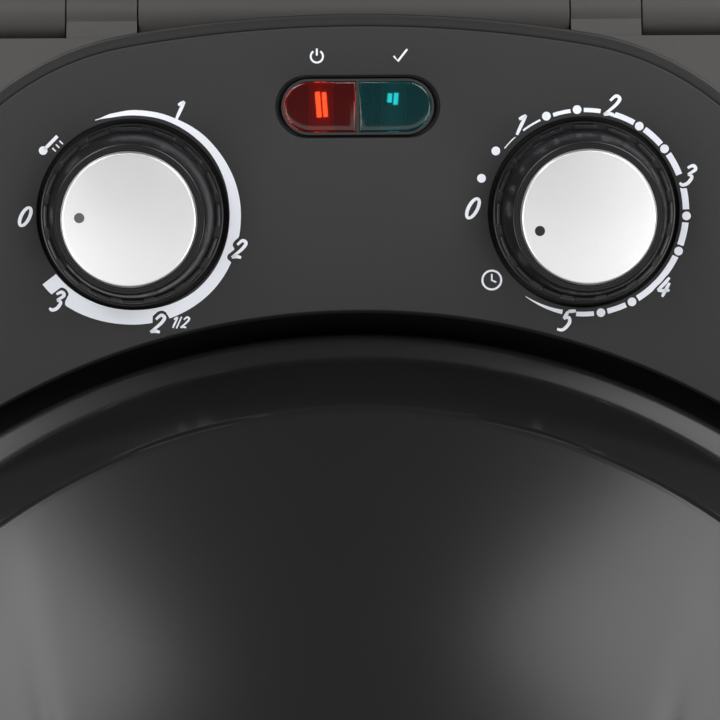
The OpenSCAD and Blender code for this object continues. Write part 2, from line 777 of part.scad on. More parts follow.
module pin_rings() {
    color([0.5, 0.5, 0.5]) at_dome() for (s = [-1, 1])
        translate([s * (pin_out_x + 0.2), hinge_y, hinge_z]) rotate([0, s * 90, 0]) difference() {
            cylinder(h = 1.2, r = pin_d / 2 + 2.4, $fn = 32);
            translate([0, 0, -1]) cylinder(h = 4, r = pin_d / 2 + run_clear, $fn = 32);
        }
}

module hinge_housing() {
    h = box_top_z - base_floor_z;
    arm_in = arm_x - arm_w / 2 - knuckle_gap;
    arm_out = arm_x + arm_w / 2 + knuckle_gap;
    color([0.2, 0.19, 0.185]) at_dome() difference() {
        union() {
            translate([0, 0, base_floor_z]) linear_extrude(h) difference() {
                box_plan(box_w, box_rear_y, 0);
                circle(r = wall_r + fit_clear);
            }
            for (x = [[-pin_out_x, -arm_out], [-arm_in, arm_in], [arm_out, pin_out_x]])
                barrel(x[0], x[1]);
        }
        difference() {
            translate([0, 0, base_floor_z - 1]) linear_extrude(h + 1 - cover_t)
                box_plan(box_w, box_rear_y, cover_t);
            box_screw_places() translate([0, 0, cover_t]) cylinder(h = 18, r = 4.5, $fn = 32);
        }
        for (s = [-1, 1]) translate([s * pin_in_x, hinge_y, hinge_z]) rotate([0, s * 90, 0])
            cylinder(h = 80, r = pin_d / 2 + run_clear, $fn = 48);
        translate([0, 0, base_rim_z - liner_t - 2 * bead_r - fit_clear])
            cylinder(h = far, r = bead_at_r + bead_r + fit_clear);
        box_screw_places() cylinder(h = cover_screw_h + 2, r = screw_r + run_clear, $fn = 24);
        translate([gland_x, box_rear_y + 1, gland_z]) rotate([90, 0, 0])
            cylinder(h = 10, r = gland_r + run_clear, $fn = 48);
    }
}

module barrel(x0, x1) {
    translate([x0, hinge_y, hinge_z]) rotate([0, 90, 0]) cylinder(h = x1 - x0, r = barrel_r);
    translate([x0, hinge_y - barrel_r, box_top_z - 1])
        cube([x1 - x0, 2 * barrel_r, hinge_z - box_top_z + 1]);
}

module box_screw_places() {
    for (s = [-1, 1]) for (y = [wall_r - 6, box_rear_y - box_boss_in])
        translate([s * (box_w / 2 - box_boss_in), y, base_floor_z]) children();
}

module junction_cover() {
    g = cover_t + fit_clear;
    color([0.12, 0.12, 0.12]) at_dome() difference() {
        translate([0, 0, base_floor_z]) linear_extrude(cover_t) difference() {
            box_plan(box_w, box_rear_y, g);
            circle(r = wall_r + fit_clear);
        }
        box_screw_places() cylinder(h = 30, r = screw_hole_r, center = true, $fn = 24);
        for (s = [-1, 1]) translate([s * rear_foot_x, rear_foot_y, 0])
            cylinder(h = far, r = screw_hole_r, $fn = 24);
    }
}

module box_screws() {
    color([0.7, 0.7, 0.7]) at_dome() box_screw_places()
        screw(screw_r, cover_screw_h, screw_head_r, 1.8);
}

module cable_gland() {
    color([0.05, 0.05, 0.05]) at_dome() translate([gland_x, box_rear_y, gland_z])
        rotate([90, 0, 0]) difference() {
            union() {
                translate([0, 0, -gland_flange_t]) cylinder(h = gland_flange_t, r = gland_r + 3);
                cylinder(h = 12, r = gland_r);
            }
            translate([0, 0, -10]) cylinder(h = 30, r = cord_r, $fn = 48);
        }
}

module terminal_block() {
    z = base_floor_z + cover_t;
    color([0.9, 0.88, 0.8]) at_dome() translate([0, block_y, z]) difference() {
        translate([-22, -8, 0]) cube([44, 16, 14]);
        for (i = [-1.5:1.5]) translate([i * 10, 0, 5]) cylinder(h = 20, r = 2.2, $fn = 24);
    }
}

module thermal_fuse() {
    z = base_floor_z + cover_t;
    color([0.75, 0.7, 0.5]) at_dome() translate([-48, block_y - 12, z + 3]) {
        rotate([0, 90, 0]) cylinder(h = 16, r = 2.6, center = true, $fn = 32);
        translate([-3, -4, -3]) cube([6, 8, 3]);
    }
}

module earth_tag() {
    z = base_floor_z + cover_t;
    color([0.8, 0.7, 0.3]) at_dome() translate([48, block_y - 10, z]) {
        translate([-4, -9, 0]) cube([8, 18, 0.8]);
        cylinder(h = 4, r = 3, $fn = 32);
    }
}

// Wires from the terminal block's top to the lower tube's studs
module lower_leads() {
    z = base_floor_z + cover_t + 14;
    color([0.8, 0.8, 0.78]) at_dome() for (s = [-1, 1]) {
        turn = [s * terminal_x, block_y, z + terminal_up];
        rod([s * terminal_x, block_y, z], turn, wire_r);
        rod(turn, [s * lead_x, wire_end_y, lower_element_z], wire_r, false);
        translate([s * lead_x, stud_end_y - 6, lower_element_z]) rotate([-90, 0, 0])
            wire_sleeve();
    }
}

// The crimped sleeve that grips a stud
module wire_sleeve() {
    difference() {
        cylinder(h = 9, r = 3, $fn = 32);
        translate([0, 0, -1]) cylinder(h = 7, r = stud_r + run_clear, $fn = 24);
    }
}

/* Control housing: a raised hump whose top is the tilted panel */

// The housing's outer form drawn in by g, with its top lowered by drop
module housing_form(g, drop, front_g, z_low) {
    difference() {
        intersection() {
            translate([0, 0, z_low]) linear_extrude(far) polygon(housing_outline(g));
            on_panel() translate([-far, -far, -far - drop]) cube([2 * far, 2 * far, far]);
        }
        on_panel(0, -panel_front_r) translate([0, 0, -60])
            cylinder(h = 120, r = panel_front_r + front_g);
    }
}

module control_housing() {
    color([0.2, 0.2, 0.2]) at_dome() difference() {
        union() {
            difference() {
                union() {
                    housing_form(0, step_d, 0, cover_z);
                    housing_form(step_w, 0, 0, cover_z);
                }
                housing_form(housing_t, housing_t + step_d, housing_t, flange_z - 0.01);
                translate([0, 0, cover_z - 1]) linear_extrude(flange_z - cover_z + 1)
                    polygon(housing_outline(housing_t));
            }
            intersection() {
                housing_form(1, step_d + 1, 1, cover_z);
                housing_insides();
            }
        }
        translate([0, 0, cover_z - 1])
            cylinder(h = flange_z - cover_z + 1, r = wall_r + fit_clear);
        for (x = [temp_x, timer_x]) on_panel(x, knob_up) {
            translate([0, 0, -pocket_d]) cylinder(h = 20, r = pocket_r);
            translate([0, 0, -20]) cylinder(h = 30, r = bushing_r + fit_clear, $fn = 48);
        }
        on_panel(0, lights_up) {
            translate([0, 0, -recess_d]) linear_extrude(20)
                stadium(lens_len + 2 * recess_border + 0.2, lens_w + 2 * recess_border - 0.9);
            translate([0, 0, -10]) linear_extrude(20)
                stadium(lens_len + 2 * collar_t + 0.3, lens_w + 2 * collar_t + 0.3);
        }
        housing_screw_places() cylinder(h = 16, r = screw_r + run_clear, $fn = 24);
    }
}

// Cups behind the knobs' pockets and the lights' recess, and the screw bosses
module housing_insides() {
    for (x = [temp_x, timer_x]) on_panel(x, knob_up) translate([0, 0, -pocket_floor])
        cylinder(h = pocket_floor, r = pocket_r + housing_t);
    on_panel(0, lights_up) translate([0, 0, -lens_floor]) linear_extrude(lens_floor)
        stadium(lens_len + 2 * recess_border + 4, lens_w + 2 * recess_border + 4);
    housing_screw_places() translate([0, 0, cover_t]) cylinder(h = far, r = 4.5, $fn = 32);
}

module housing_screws() {
    color([0.7, 0.7, 0.7]) at_dome() housing_screw_places()
        screw(screw_r, cover_screw_h, screw_head_r, 1.8);
}

/* Knobs, thermostat and timer */

module knob_body() {
    low = -pocket_d + 0.6;
    skirt_top = 3.2;
    neck_r = cap_d / 2 + 1.4;
    difference() {
        union() {
            translate([0, 0, low]) cylinder(h = skirt_top - low, d = knob_d);
            translate([0, 0, skirt_top])
                cylinder(h = knob_h - skirt_top - 0.6, r1 = knob_d / 2 - 0.7, r2 = neck_r);
        }
        translate([0, 0, low - 1]) difference() {
            cylinder(h = skirt_top - low + 4, r = neck_r - 2.4);
            translate([0, 0, 1 - low + 0.6]) cylinder(h = 20, r = 6);
        }
        translate([0, 0, -10]) cylinder(h = 10 + knob_h - 5, r = spindle_d / 2 + 0.02, $fn = 48);
        translate([0, 0, knob_h - cap_seat]) cylinder(h = 5, d = cap_d + 0.1);
        for (i = [0:grip_count - 1]) rotate([0, 0, (i + 0.5) * 360 / grip_count])
            translate([knob_d / 2 - 0.55, -20, low - 1]) cube([5, 40, skirt_top - low + 1.01]);
    }
}

module knob_cap() {
    translate([0, 0, knob_h - cap_seat]) {
        cylinder(h = cap_seat - 0.5, d = cap_d);
        translate([0, 0, cap_seat - 0.5]) cylinder(h = 0.5, r1 = cap_d / 2, r2 = cap_d / 2 - 0.5);
    }
}

module spindle() {
    translate([0, 0, -pocket_floor - 12]) cylinder(h = pocket_floor + 12 + knob_h - 5.4,
        d = spindle_d, $fn = 48);
}

module temp_knob() {
    color([0.07, 0.07, 0.07]) at_dome() on_panel(temp_x, knob_up) knob_body();
}

module temp_knob_cap() {
    color([0.72, 0.73, 0.75]) at_dome() on_panel(temp_x, knob_up) knob_cap();
}

module temp_spindle() {
    color([0.8, 0.75, 0.5]) at_dome() on_panel(temp_x, knob_up) spindle();
}

module timer_knob() {
    color([0.07, 0.07, 0.07]) at_dome() on_panel(timer_x, knob_up) knob_body();
}

module timer_knob_cap() {
    color([0.72, 0.73, 0.75]) at_dome() on_panel(timer_x, knob_up) knob_cap();
}

module timer_spindle() {
    color([0.8, 0.75, 0.5]) at_dome() on_panel(timer_x, knob_up) spindle();
}

// The threaded bushing that holds a control in the panel, and its spindle's bore
module bushing() {
    translate([0, 0, -pocket_floor - 0.01])
        cylinder(h = pocket_floor - 0.4, r = bushing_r, $fn = 48);
}

module spindle_bore() {
    translate([0, 0, -pocket_floor - 12.5])
        cylinder(h = 40, r = spindle_d / 2 + run_clear, $fn = 48);
}

module thermostat_body() {
    w = 34;
    color([0.85, 0.83, 0.75]) at_dome() on_panel(temp_x, knob_up) difference() {
        union() {
            translate([-w / 2, -w / 2, -pocket_floor - 18]) cube([w, w, 18]);
            bushing();
        }
        spindle_bore();
    }
}

module timer_body() {
    color([0.6, 0.6, 0.6]) at_dome() on_panel(timer_x, knob_up) difference() {
        union() {
            translate([0, 0, -timer_floor]) cylinder(h = timer_floor - pocket_floor, r = 19);
            translate([0, 0, -bell_z]) cylinder(h = bell_z - timer_floor + 1, r = 2, $fn = 24);
            bushing();
        }
        spindle_bore();
    }
}

// The bell's floor, 1 thick, stands on the post's end
module timer_bell() {
    color([0.8, 0.8, 0.8]) at_dome() on_panel(timer_x, knob_up) translate([0, 0, -bell_z - 1])
        rotate_extrude() polygon(concat(
            [[0, 0]], arc(bell_h, bell_h, bell_h, 270, 350, 5),
            [[bell_r, bell_h - 0.5]], arc(bell_h, bell_h, bell_h - 1, 350, 270, 5), [[0, 1]]));
}

module control_nuts() {
    color([0.75, 0.75, 0.75]) at_dome() for (x = [temp_x, timer_x]) on_panel(x, knob_up)
        translate([0, 0, -pocket_d]) nut(8, bushing_r, nut_h);
}

// The thermostat's fluid tube, from its body through the lid's wall to the bulb on the liner
module thermostat_bulb() {
    p = capillary;
    color([0.75, 0.5, 0.35]) at_dome() {
        for (i = [0:len(p) - 2]) rod(p[i], p[i + 1], 1, i < len(p) - 2);
        b = p[len(p) - 1];
        translate([b[0], b[1] + 2, b[2]]) rotate([90, 0, 0]) cylinder(h = 60, r = bulb_r, $fn = 32);
    }
}

/* Pilot lights */

// Half of a stadium: the right half for s = 1, the left one for s = -1
module half_stadium(len, w, s, middle) {
    intersection() {
        stadium(len, w);
        translate([s > 0 ? middle : -len - middle, -w]) square([len, 2 * w]);
    }
}

module lens(s) {
    on_panel(0, lights_up) {
        translate([0, 0, -lens_floor]) linear_extrude(lens_floor - 0.6)
            half_stadium(lens_len, lens_w, s, 0.4);
        translate([0, 0, -lens_floor - 1]) linear_extrude(1)
            half_stadium(lens_len + 1.6, lens_w + 1.6, s, 0.4);
    }
}

module red_lens() {
    color([0.8, 0.08, 0.08]) at_dome() lens(-1);
}

module green_lens() {
    color([0.1, 0.55, 0.5]) at_dome() lens(1);
}

module lamp_holder() {
    w = lens_len + 10;
    d = 18;
    color([0.05, 0.05, 0.05]) at_dome() on_panel(0, lights_up) difference() {
        union() {
            translate([-w / 2, -d / 2, -lens_floor - holder_depth])
                cube([w, d, holder_depth]);
            translate([0, 0, -lens_floor - 1]) linear_extrude(lens_floor + 1 - 0.9)
                stadium(lens_len + 2 * collar_t, lens_w + 2 * collar_t);
        }
        for (s = [-1, 1]) {
            translate([0, 0, -lens_floor]) linear_extrude(lens_floor + 1)
                half_stadium(lens_len + 0.1, lens_w + 0.1, s, 0.35);
            translate([0, 0, -lens_floor - 1.02]) linear_extrude(1.03)
                half_stadium(lens_len + 1.8, lens_w + 1.8, s, 0.35);
            translate([s * lamp_x - 6.5, -lens_w / 2, -lens_floor - holder_depth + 1.5])
                cube([13, lens_w, holder_depth]);
        }
    }
}

module lamp(s) {
    on_panel(s * lamp_x, lights_up) 
        translate([0, 0, -lens_floor - holder_depth + 1.5 + lamp_r]) rotate([90, 0, 0])
            cylinder(h = 10.5, r = lamp_r, center = true, $fn = 32);
}

module red_lamp() {
    color([1, 0.45, 0.15]) at_dome() lamp(-1);
}

module green_lamp() {
    color([0.3, 0.9, 0.8]) at_dome() lamp(1);
}

// Wires from the thermostat and the lamp holder to the upper tube's studs
module lid_leads() {
    color([0.8, 0.8, 0.78]) at_dome() for (s = [-1, 1]) {
        translate([s * lead_x, stud_end_y - 6, upper_element_z]) rotate([-90, 0, 0])
            wire_sleeve();
        turn = [s * lead_x * 0.5, stud_end_y + 10, upper_element_z + 4];
        rod([s * lead_x, wire_end_y, upper_element_z], turn, wire_r);
        rod(turn, lead_top(s), wire_r, false);
        on_panel(s * 8, lead_up) translate([0, 0, -lens_floor - holder_depth - 4])
            cylinder(h = 4, r = 2.4, $fn = 24);
    }
}

// Where a wire meets its terminal, under the lamp holder
function lead_top(s) = let (deep = lens_floor + holder_depth + 2)
    [s * 8, panel_y + lead_up * cos(panel_tilt) + deep * sin(panel_tilt),
     panel_z + lead_up * sin(panel_tilt) - deep * cos(panel_tilt)];

base_shell();
bottom_plate();
bottom_screws();
feet();
foot_screws();
base_liner();
stone();
lower_element();
lower_clips();
lower_bushes();
base_grip();
grip_screws();
hinge_housing();
hinge_pins();
pin_rings();
junction_cover();
box_screws();
cable_gland();
terminal_block();
thermal_fuse();
earth_tag();
lower_leads();
lid_shell();
lid_liner();
liner_screws();
upper_element();
upper_clips();
upper_bushes();
lid_handle();
handle_screws();
rear_cover();
hinge_arm_left();
hinge_arm_right();
arm_screws();
arm_nuts();
control_housing();
housing_screws();
thermostat_body();
thermostat_bulb();
timer_body();
timer_bell();
control_nuts();
lamp_holder();
red_lens();
green_lens();
red_lamp();
green_lamp();
lid_leads();
temp_knob();
temp_knob_cap();
temp_spindle();
timer_knob();
timer_knob_cap();
timer_spindle();
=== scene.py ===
# Countertop pizza maker: finishes, printing and modelled pieces round the fixed frame.
# Lengths are in millimetres until makePiece puts a mesh into the frame, in metres.
import bpy
import bmesh
import json
from math import sin, cos, tan, pi, radians, degrees, sqrt, asin, atan2, exp, hypot
from mathutils import Vector, Matrix


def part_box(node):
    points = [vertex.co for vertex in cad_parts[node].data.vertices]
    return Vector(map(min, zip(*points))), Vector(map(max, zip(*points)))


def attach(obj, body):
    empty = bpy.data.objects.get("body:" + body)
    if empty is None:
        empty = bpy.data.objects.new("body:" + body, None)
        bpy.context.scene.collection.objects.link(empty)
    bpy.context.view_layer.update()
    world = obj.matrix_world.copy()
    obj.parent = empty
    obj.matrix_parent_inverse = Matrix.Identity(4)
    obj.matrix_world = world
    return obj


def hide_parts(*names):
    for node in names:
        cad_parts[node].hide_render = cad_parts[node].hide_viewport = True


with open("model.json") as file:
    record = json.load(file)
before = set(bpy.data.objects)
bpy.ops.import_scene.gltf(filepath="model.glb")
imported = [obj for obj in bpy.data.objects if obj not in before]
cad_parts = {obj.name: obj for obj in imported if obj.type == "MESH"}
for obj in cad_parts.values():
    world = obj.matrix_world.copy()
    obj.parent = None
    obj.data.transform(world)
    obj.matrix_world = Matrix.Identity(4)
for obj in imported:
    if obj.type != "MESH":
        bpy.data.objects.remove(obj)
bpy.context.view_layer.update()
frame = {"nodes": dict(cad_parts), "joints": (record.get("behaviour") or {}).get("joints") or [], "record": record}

mm = 0.001


def boxMm(node):
    low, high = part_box(node)
    return [c / mm for c in low], [c / mm for c in high]


stoneLow, stoneHigh = boxMm("stone")
lidLow, lidHigh = boxMm("lid_shell")
coverLow, coverHigh = boxMm("rear_cover")
joints = {j["name"]: j for j in frame["joints"]}
axisY = (stoneLow[1] + stoneHigh[1]) / 2  # the dome's axis, front to rear

lid = {
    "wallR": (lidHigh[0] - lidLow[0]) / 2,
    "seamZ": lidLow[2],
    "flangeZ": lidLow[2] + 31.7,
    "flangeW": 14,
    "rimRise": 12,
    "rimW": 7,
    "slopeW": 16,
    "slopeRise": 18,
    "crownRise": 8,
    "sheet": 1.5,
    "bend": 2,
    "footBend": 1.8,
    "ledge": {"bend": 3, "in": 1.5, "sweep": (270, 228)},
    "brow": {"bend": 7, "in": 4, "drop": 6.4, "sweep": (45, 72)},
}
lid["domeR"] = lid["wallR"] - lid["flangeW"]
lid["rimZ"] = lid["flangeZ"] + lid["rimRise"]
lid["crownR"] = lid["domeR"] - lid["rimW"] - lid["slopeW"]
lid["crownZ"] = lid["rimZ"] + lid["slopeRise"]

# The panel's own frame: X right, Y up the slope, Z out of the panel
panel = {"knobUp": 21.7, "lightsUp": 45.4, "frontR": 165, "length": 66.6}
tempAt = Vector(joints["temp_knob_turn"]["pos_m"]) / mm
timerAt = Vector(joints["timer_knob_turn"]["pos_m"]) / mm
panelOut = -Vector(joints["temp_knob_turn"]["axis"]).normalized()
panelUp = Vector((0, panelOut.z, -panelOut.y))
tilt = atan2(panelUp.z, panelUp.y)
panelOrigin = (tempAt + timerAt) / 2 - panelUp * panel["knobUp"]
knobX = (timerAt.x - tempAt.x) / 2


def panelMatrix(x=0, y=0):
    place = panelOrigin + Vector((x, 0, 0)) + panelUp * y
    turn = Matrix((Vector((1, 0, 0)), panelUp, panelOut)).transposed().to_4x4()
    return Matrix.Translation(place) @ turn


domeMatrix = Matrix.Translation((0, axisY, 0))


# Camera and light

cameraSetup = {
    "place": (-8.23, -85.45, 879.47),  # from the dome's axis, at table height
    "azimuth": 2.095,
    "elevation": 72.65,
    "roll": 1.646,
    "focal": 3468.6,  # in pixels of the 720 pixel frame
}


def makeCamera():
    s = cameraSetup
    az, el, roll = radians(s["azimuth"]), radians(s["elevation"]), radians(s["roll"])
    ahead = Vector((sin(az) * cos(el), cos(az) * cos(el), -sin(el)))
    right = Vector((cos(az), -sin(az), 0))
    up = right.cross(ahead)
    right, up = cos(roll) * right + sin(roll) * up, cos(roll) * up - sin(roll) * right
    data = bpy.data.cameras.new("camera")
    data.sensor_width = 36
    data.lens = s["focal"] / 720 * data.sensor_width
    data.clip_start, data.clip_end = 0.01, 20
    camera = bpy.data.objects.new("camera", data)
    place = (Vector(s["place"]) + Vector((0, axisY, 0))) * mm
    camera.matrix_world = Matrix.Translation(place) @ Matrix(
        (right, up, -ahead)).transposed().to_4x4()
    bpy.context.scene.collection.objects.link(camera)
    bpy.context.scene.camera = camera


# Softboxes: radiance is in watts per square metre and steradian at the box's face
softboxes = {
    "rearLeft": {"at": (-0.91, 1.0, 1.42), "size": (0.56, 1.8), "radiance": 4.2},
    "rearRight": {"at": (1.03, 0.795, 1.42), "size": (0.98, 1.8), "radiance": 3.7},
    "sideLeft": {"at": (-1.17, 0.6, 1.42), "size": (1.0, 0.9), "radiance": 2.4},
    "sideRight": {"at": (1.17, 0.6, 1.42), "size": (1.0, 0.9), "radiance": 1.3},
    "frontLeft": {"at": (-0.95, -0.75, 1.25), "size": (0.8, 0.9), "radiance": 4.0},
    "frontRight": {"at": (0.95, -0.75, 1.25), "size": (0.8, 0.9), "radiance": 4.0},
    "frontMiddle": {"at": (0, -0.85, 1.45), "size": (0.9, 0.45), "radiance": 1.1},
}
worldLevel = 0.08


def makeLights():
    target = Vector((0, 0, 0.1))
    for name, box in softboxes.items():
        data = bpy.data.lights.new(name, "AREA")
        data.shape = "RECTANGLE"
        data.size, data.size_y = box["size"]
        data.energy = box["radiance"] * pi * box["size"][0] * box["size"][1]
        lamp = bpy.data.objects.new(name, data)
        lamp.location = box["at"]
        lamp.rotation_euler = (target - Vector(box["at"])).to_track_quat("-Z", "Y").to_euler()
        bpy.context.scene.collection.objects.link(lamp)


backdrop = (0.9, 0.9, 0.9, 1)
floorLook = {
    "half": 3,
    "colour": (0.72, 0.72, 0.71, 1),
    "rough": 0.6,
    "meltFrom": 0.5,
    "meltTo": 2.4,
}


def makeWorld():
    world = bpy.data.worlds.new("studio")
    world.use_nodes = True
    nodes, links = world.node_tree.nodes, world.node_tree.links
    nodes.clear()
    out = nodes.new("ShaderNodeOutputWorld")
    soft = nodes.new("ShaderNodeBackground")
    soft.inputs["Strength"].default_value = worldLevel
    seen = nodes.new("ShaderNodeBackground")
    seen.inputs["Color"].default_value = backdrop
    mix = nodes.new("ShaderNodeMixShader")
    path = nodes.new("ShaderNodeLightPath")
    links.new(path.outputs["Is Camera Ray"], mix.inputs["Fac"])
    links.new(soft.outputs[0], mix.inputs[1])
    links.new(seen.outputs[0], mix.inputs[2])
    links.new(mix.outputs[0], out.inputs["Surface"])
    bpy.context.scene.world = world


def makeFloor():
    bm = bmesh.new()
    bmesh.ops.create_grid(bm, x_segments=1, y_segments=1, size=floorLook["half"])
    mesh = bpy.data.meshes.new("floor")
    bm.to_mesh(mesh)
    bm.free()
    floor = bpy.data.objects.new("floor", mesh)
    bpy.context.scene.collection.objects.link(floor)
    pale = bpy.data.materials.new("paleFloor")
    pale.use_nodes = True
    nodes, links = pale.node_tree.nodes, pale.node_tree.links
    shader = nodes["Principled BSDF"]
    shader.inputs["Base Color"].default_value = floorLook["colour"]
    shader.inputs["Roughness"].default_value = floorLook["rough"]
    # Far away, the camera sees the floor melt into the background
    place = nodes.new("ShaderNodeTexCoord")
    length = nodes.new("ShaderNodeVectorMath")
    length.operation = "LENGTH"
    links.new(place.outputs["Object"], length.inputs[0])
    far = nodes.new("ShaderNodeMapRange")
    far.interpolation_type = "SMOOTHSTEP"
    far.inputs["From Min"].default_value = floorLook["meltFrom"]
    far.inputs["From Max"].default_value = floorLook["meltTo"]
    links.new(length.outputs["Value"], far.inputs["Value"])
    path = nodes.new("ShaderNodeLightPath")
    share = nodes.new("ShaderNodeMath")
    share.operation = "MULTIPLY"
    links.new(far.outputs["Result"], share.inputs[0])
    links.new(path.outputs["Is Camera Ray"], share.inputs[1])
    glow = nodes.new("ShaderNodeEmission")
    glow.inputs["Color"].default_value = backdrop
    mix = nodes.new("ShaderNodeMixShader")
    links.new(share.outputs[0], mix.inputs["Fac"])
    links.new(shader.outputs[0], mix.inputs[1])
    links.new(glow.outputs[0], mix.inputs[2])
    links.new(mix.outputs[0], nodes["Material Output"].inputs["Surface"])
    mesh.materials.append(pale)


makeCamera()
makeLights()
makeWorld()
makeFloor()
bpy.context.scene.view_settings.view_transform = "Standard"
print("camera, light and floor")


# Shared effects, as node groups

def newGroup(name, ins, outs):
    group = bpy.data.node_groups.new(name, "ShaderNodeTree")
    for label, kind, value in ins:
        socket = group.interface.new_socket(label, in_out="INPUT", socket_type=kind)
        if value is not None:
            socket.default_value = value
    for label, kind in outs:
        group.interface.new_socket(label, in_out="OUTPUT", socket_type=kind)
    start = group.nodes.new("NodeGroupInput")
    end = group.nodes.new("NodeGroupOutput")
    return group, start, end


def mathNode(tree, operation, a=None, b=None):
    node = tree.nodes.new("ShaderNodeMath")
    node.operation = operation
    for i, value in enumerate((a, b)):
        if value is None:
            continue
        if hasattr(value, "links"):
            tree.links.new(value, node.inputs[i])
        else:
            node.inputs[i].default_value = value
    return node.outputs[0]


vec, num = "NodeSocketVector", "NodeSocketFloat"


def makeMouldedGrain():  # fine pebbled skin of moulded plastic or stoving paint
    group, start, end = newGroup(
        "mouldedGrain",
        [("Vector", vec, None), ("Scale", num, 2500.0), ("Contrast", num, 0.15)],
        [("Height", num), ("Tone", num)])
    noise = group.nodes.new("ShaderNodeTexNoise")
    noise.inputs["Detail"].default_value = 3
    group.links.new(start.outputs["Vector"], noise.inputs["Vector"])
    group.links.new(start.outputs["Scale"], noise.inputs["Scale"])
    spread = mathNode(group, "SUBTRACT", noise.outputs["Fac"], 0.5)
    toned = mathNode(group, "MULTIPLY", spread, start.outputs["Contrast"])
    tone = mathNode(group, "ADD", toned, 1.0)
    group.links.new(noise.outputs["Fac"], end.inputs["Height"])
    group.links.new(tone, end.inputs["Tone"])
    return group


def makeSoftWear():  # broad cloudy change in polish, as handling and heat leave
    group, start, end = newGroup(
        "softWear",
        [("Vector", vec, None), ("Scale", num, 20.0), ("Amount", num, 0.08),
         ("Level", num, 0.4)],
        [("Roughness", num), ("Mask", num)])
    broad = group.nodes.new("ShaderNodeTexNoise")
    broad.inputs["Detail"].default_value = 4
    group.links.new(start.outputs["Vector"], broad.inputs["Vector"])
    group.links.new(start.outputs["Scale"], broad.inputs["Scale"])
    spread = mathNode(group, "SUBTRACT", broad.outputs["Fac"], 0.5)
    scaled = mathNode(group, "MULTIPLY", spread, start.outputs["Amount"])
    rough = mathNode(group, "ADD", scaled, start.outputs["Level"])
    group.links.new(rough, end.inputs["Roughness"])
    group.links.new(broad.outputs["Fac"], end.inputs["Mask"])
    return group


def makeBrushedLines():  # fine parallel scratches along the stretched axis
    group, start, end = newGroup(
        "brushedLines",
        [("Vector", vec, None), ("Stretch", vec, (1.0, 40.0, 40.0)), ("Scale", num, 60.0)],
        [("Height", num), ("Tone", num)])
    stretch = group.nodes.new("ShaderNodeVectorMath")
    stretch.operation = "MULTIPLY"
    group.links.new(start.outputs["Vector"], stretch.inputs[0])
    group.links.new(start.outputs["Stretch"], stretch.inputs[1])
    noise = group.nodes.new("ShaderNodeTexNoise")
    noise.inputs["Detail"].default_value = 4
    group.links.new(stretch.outputs[0], noise.inputs["Vector"])
    group.links.new(start.outputs["Scale"], noise.inputs["Scale"])
    spread = mathNode(group, "SUBTRACT", noise.outputs["Fac"], 0.5)
    soft = mathNode(group, "MULTIPLY", spread, 0.2)
    group.links.new(noise.outputs["Fac"], end.inputs["Height"])
    group.links.new(mathNode(group, "ADD", soft, 1.0), end.inputs["Tone"])
    return group


def makeSpeckle():  # mineral specks and pores
    group, start, end = newGroup(
        "speckle",
        [("Vector", vec, None), ("Scale", num, 400.0), ("Size", num, 0.25)],
        [("Mask", num), ("Height", num)])
    cells = group.nodes.new("ShaderNodeTexVoronoi")
    group.links.new(start.outputs["Vector"], cells.inputs["Vector"])
    group.links.new(start.outputs["Scale"], cells.inputs["Scale"])
    mask = mathNode(group, "LESS_THAN", cells.outputs["Distance"], start.outputs["Size"])
    group.links.new(mask, end.inputs["Mask"])
    group.links.new(cells.outputs["Distance"], end.inputs["Height"])
    return group


mouldedGrain = makeMouldedGrain()
softWear = makeSoftWear()
brushedLines = makeBrushedLines()
speckle = makeSpeckle()
print("shared effects")


# Finishes: colour, roughness, metal, and how deep and fine the skin's grain is

finishes = {
    "black_paint": {"colour": (0.0098, 0.0098, 0.0100), "rough": 0.17, "wear": 0.02,
                    "grain": (2800, 0.06), "bump": 0.08},
    "panel_plastic": {"colour": (0.012, 0.012, 0.0120), "rough": 0.62, "wear": 0.05,
                      "grain": (2600, 0.30)},
    # rim_plastic is the panel's plastic made darker: painted shade for the housing's rim band and walls
    "rim_plastic": {"colour": (0.006, 0.006, 0.0065), "rough": 0.46, "wear": 0.06,
                    "grain": (2600, 0.15)},
    "warm_grey_plastic": {"colour": (0.052, 0.047, 0.043), "rough": 0.55, "wear": 0.06,
                          "grain": (2200, 0.20)},
    "warm_grey_paint": {"colour": (0.052, 0.047, 0.043), "rough": 0.50, "wear": 0.06,
                        "grain": (1500, 0.10)},
    "bakelite": {"colour": (0.012, 0.011, 0.011), "rough": 0.34, "wear": 0.10,
                 "grain": (1500, 0.10)},
    "black_plastic": {"colour": (0.014, 0.014, 0.014), "rough": 0.48, "wear": 0.06,
                      "grain": (2200, 0.18)},
    "knob_plastic": {"colour": (0.008, 0.008, 0.009), "rough": 0.30, "wear": 0.05,
                     "grain": (3000, 0.05)},
    "ceramic_white": {"colour": (0.78, 0.75, 0.69), "rough": 0.35, "wear": 0.10,
                      "grain": (900, 0.08)},
    "wire_sleeve": {"colour": (0.62, 0.58, 0.48), "rough": 0.65, "wear": 0.10,
                    "grain": (1400, 0.25)},
    "print_white": {"colour": (0.80, 0.82, 0.88), "rough": 0.55, "wear": 0.05,
                    "grain": (3000, 0.04)},
    "print_grey": {"colour": (0.085, 0.080, 0.076), "rough": 0.5, "wear": 0.05,
                   "grain": (3000, 0.04)},
}
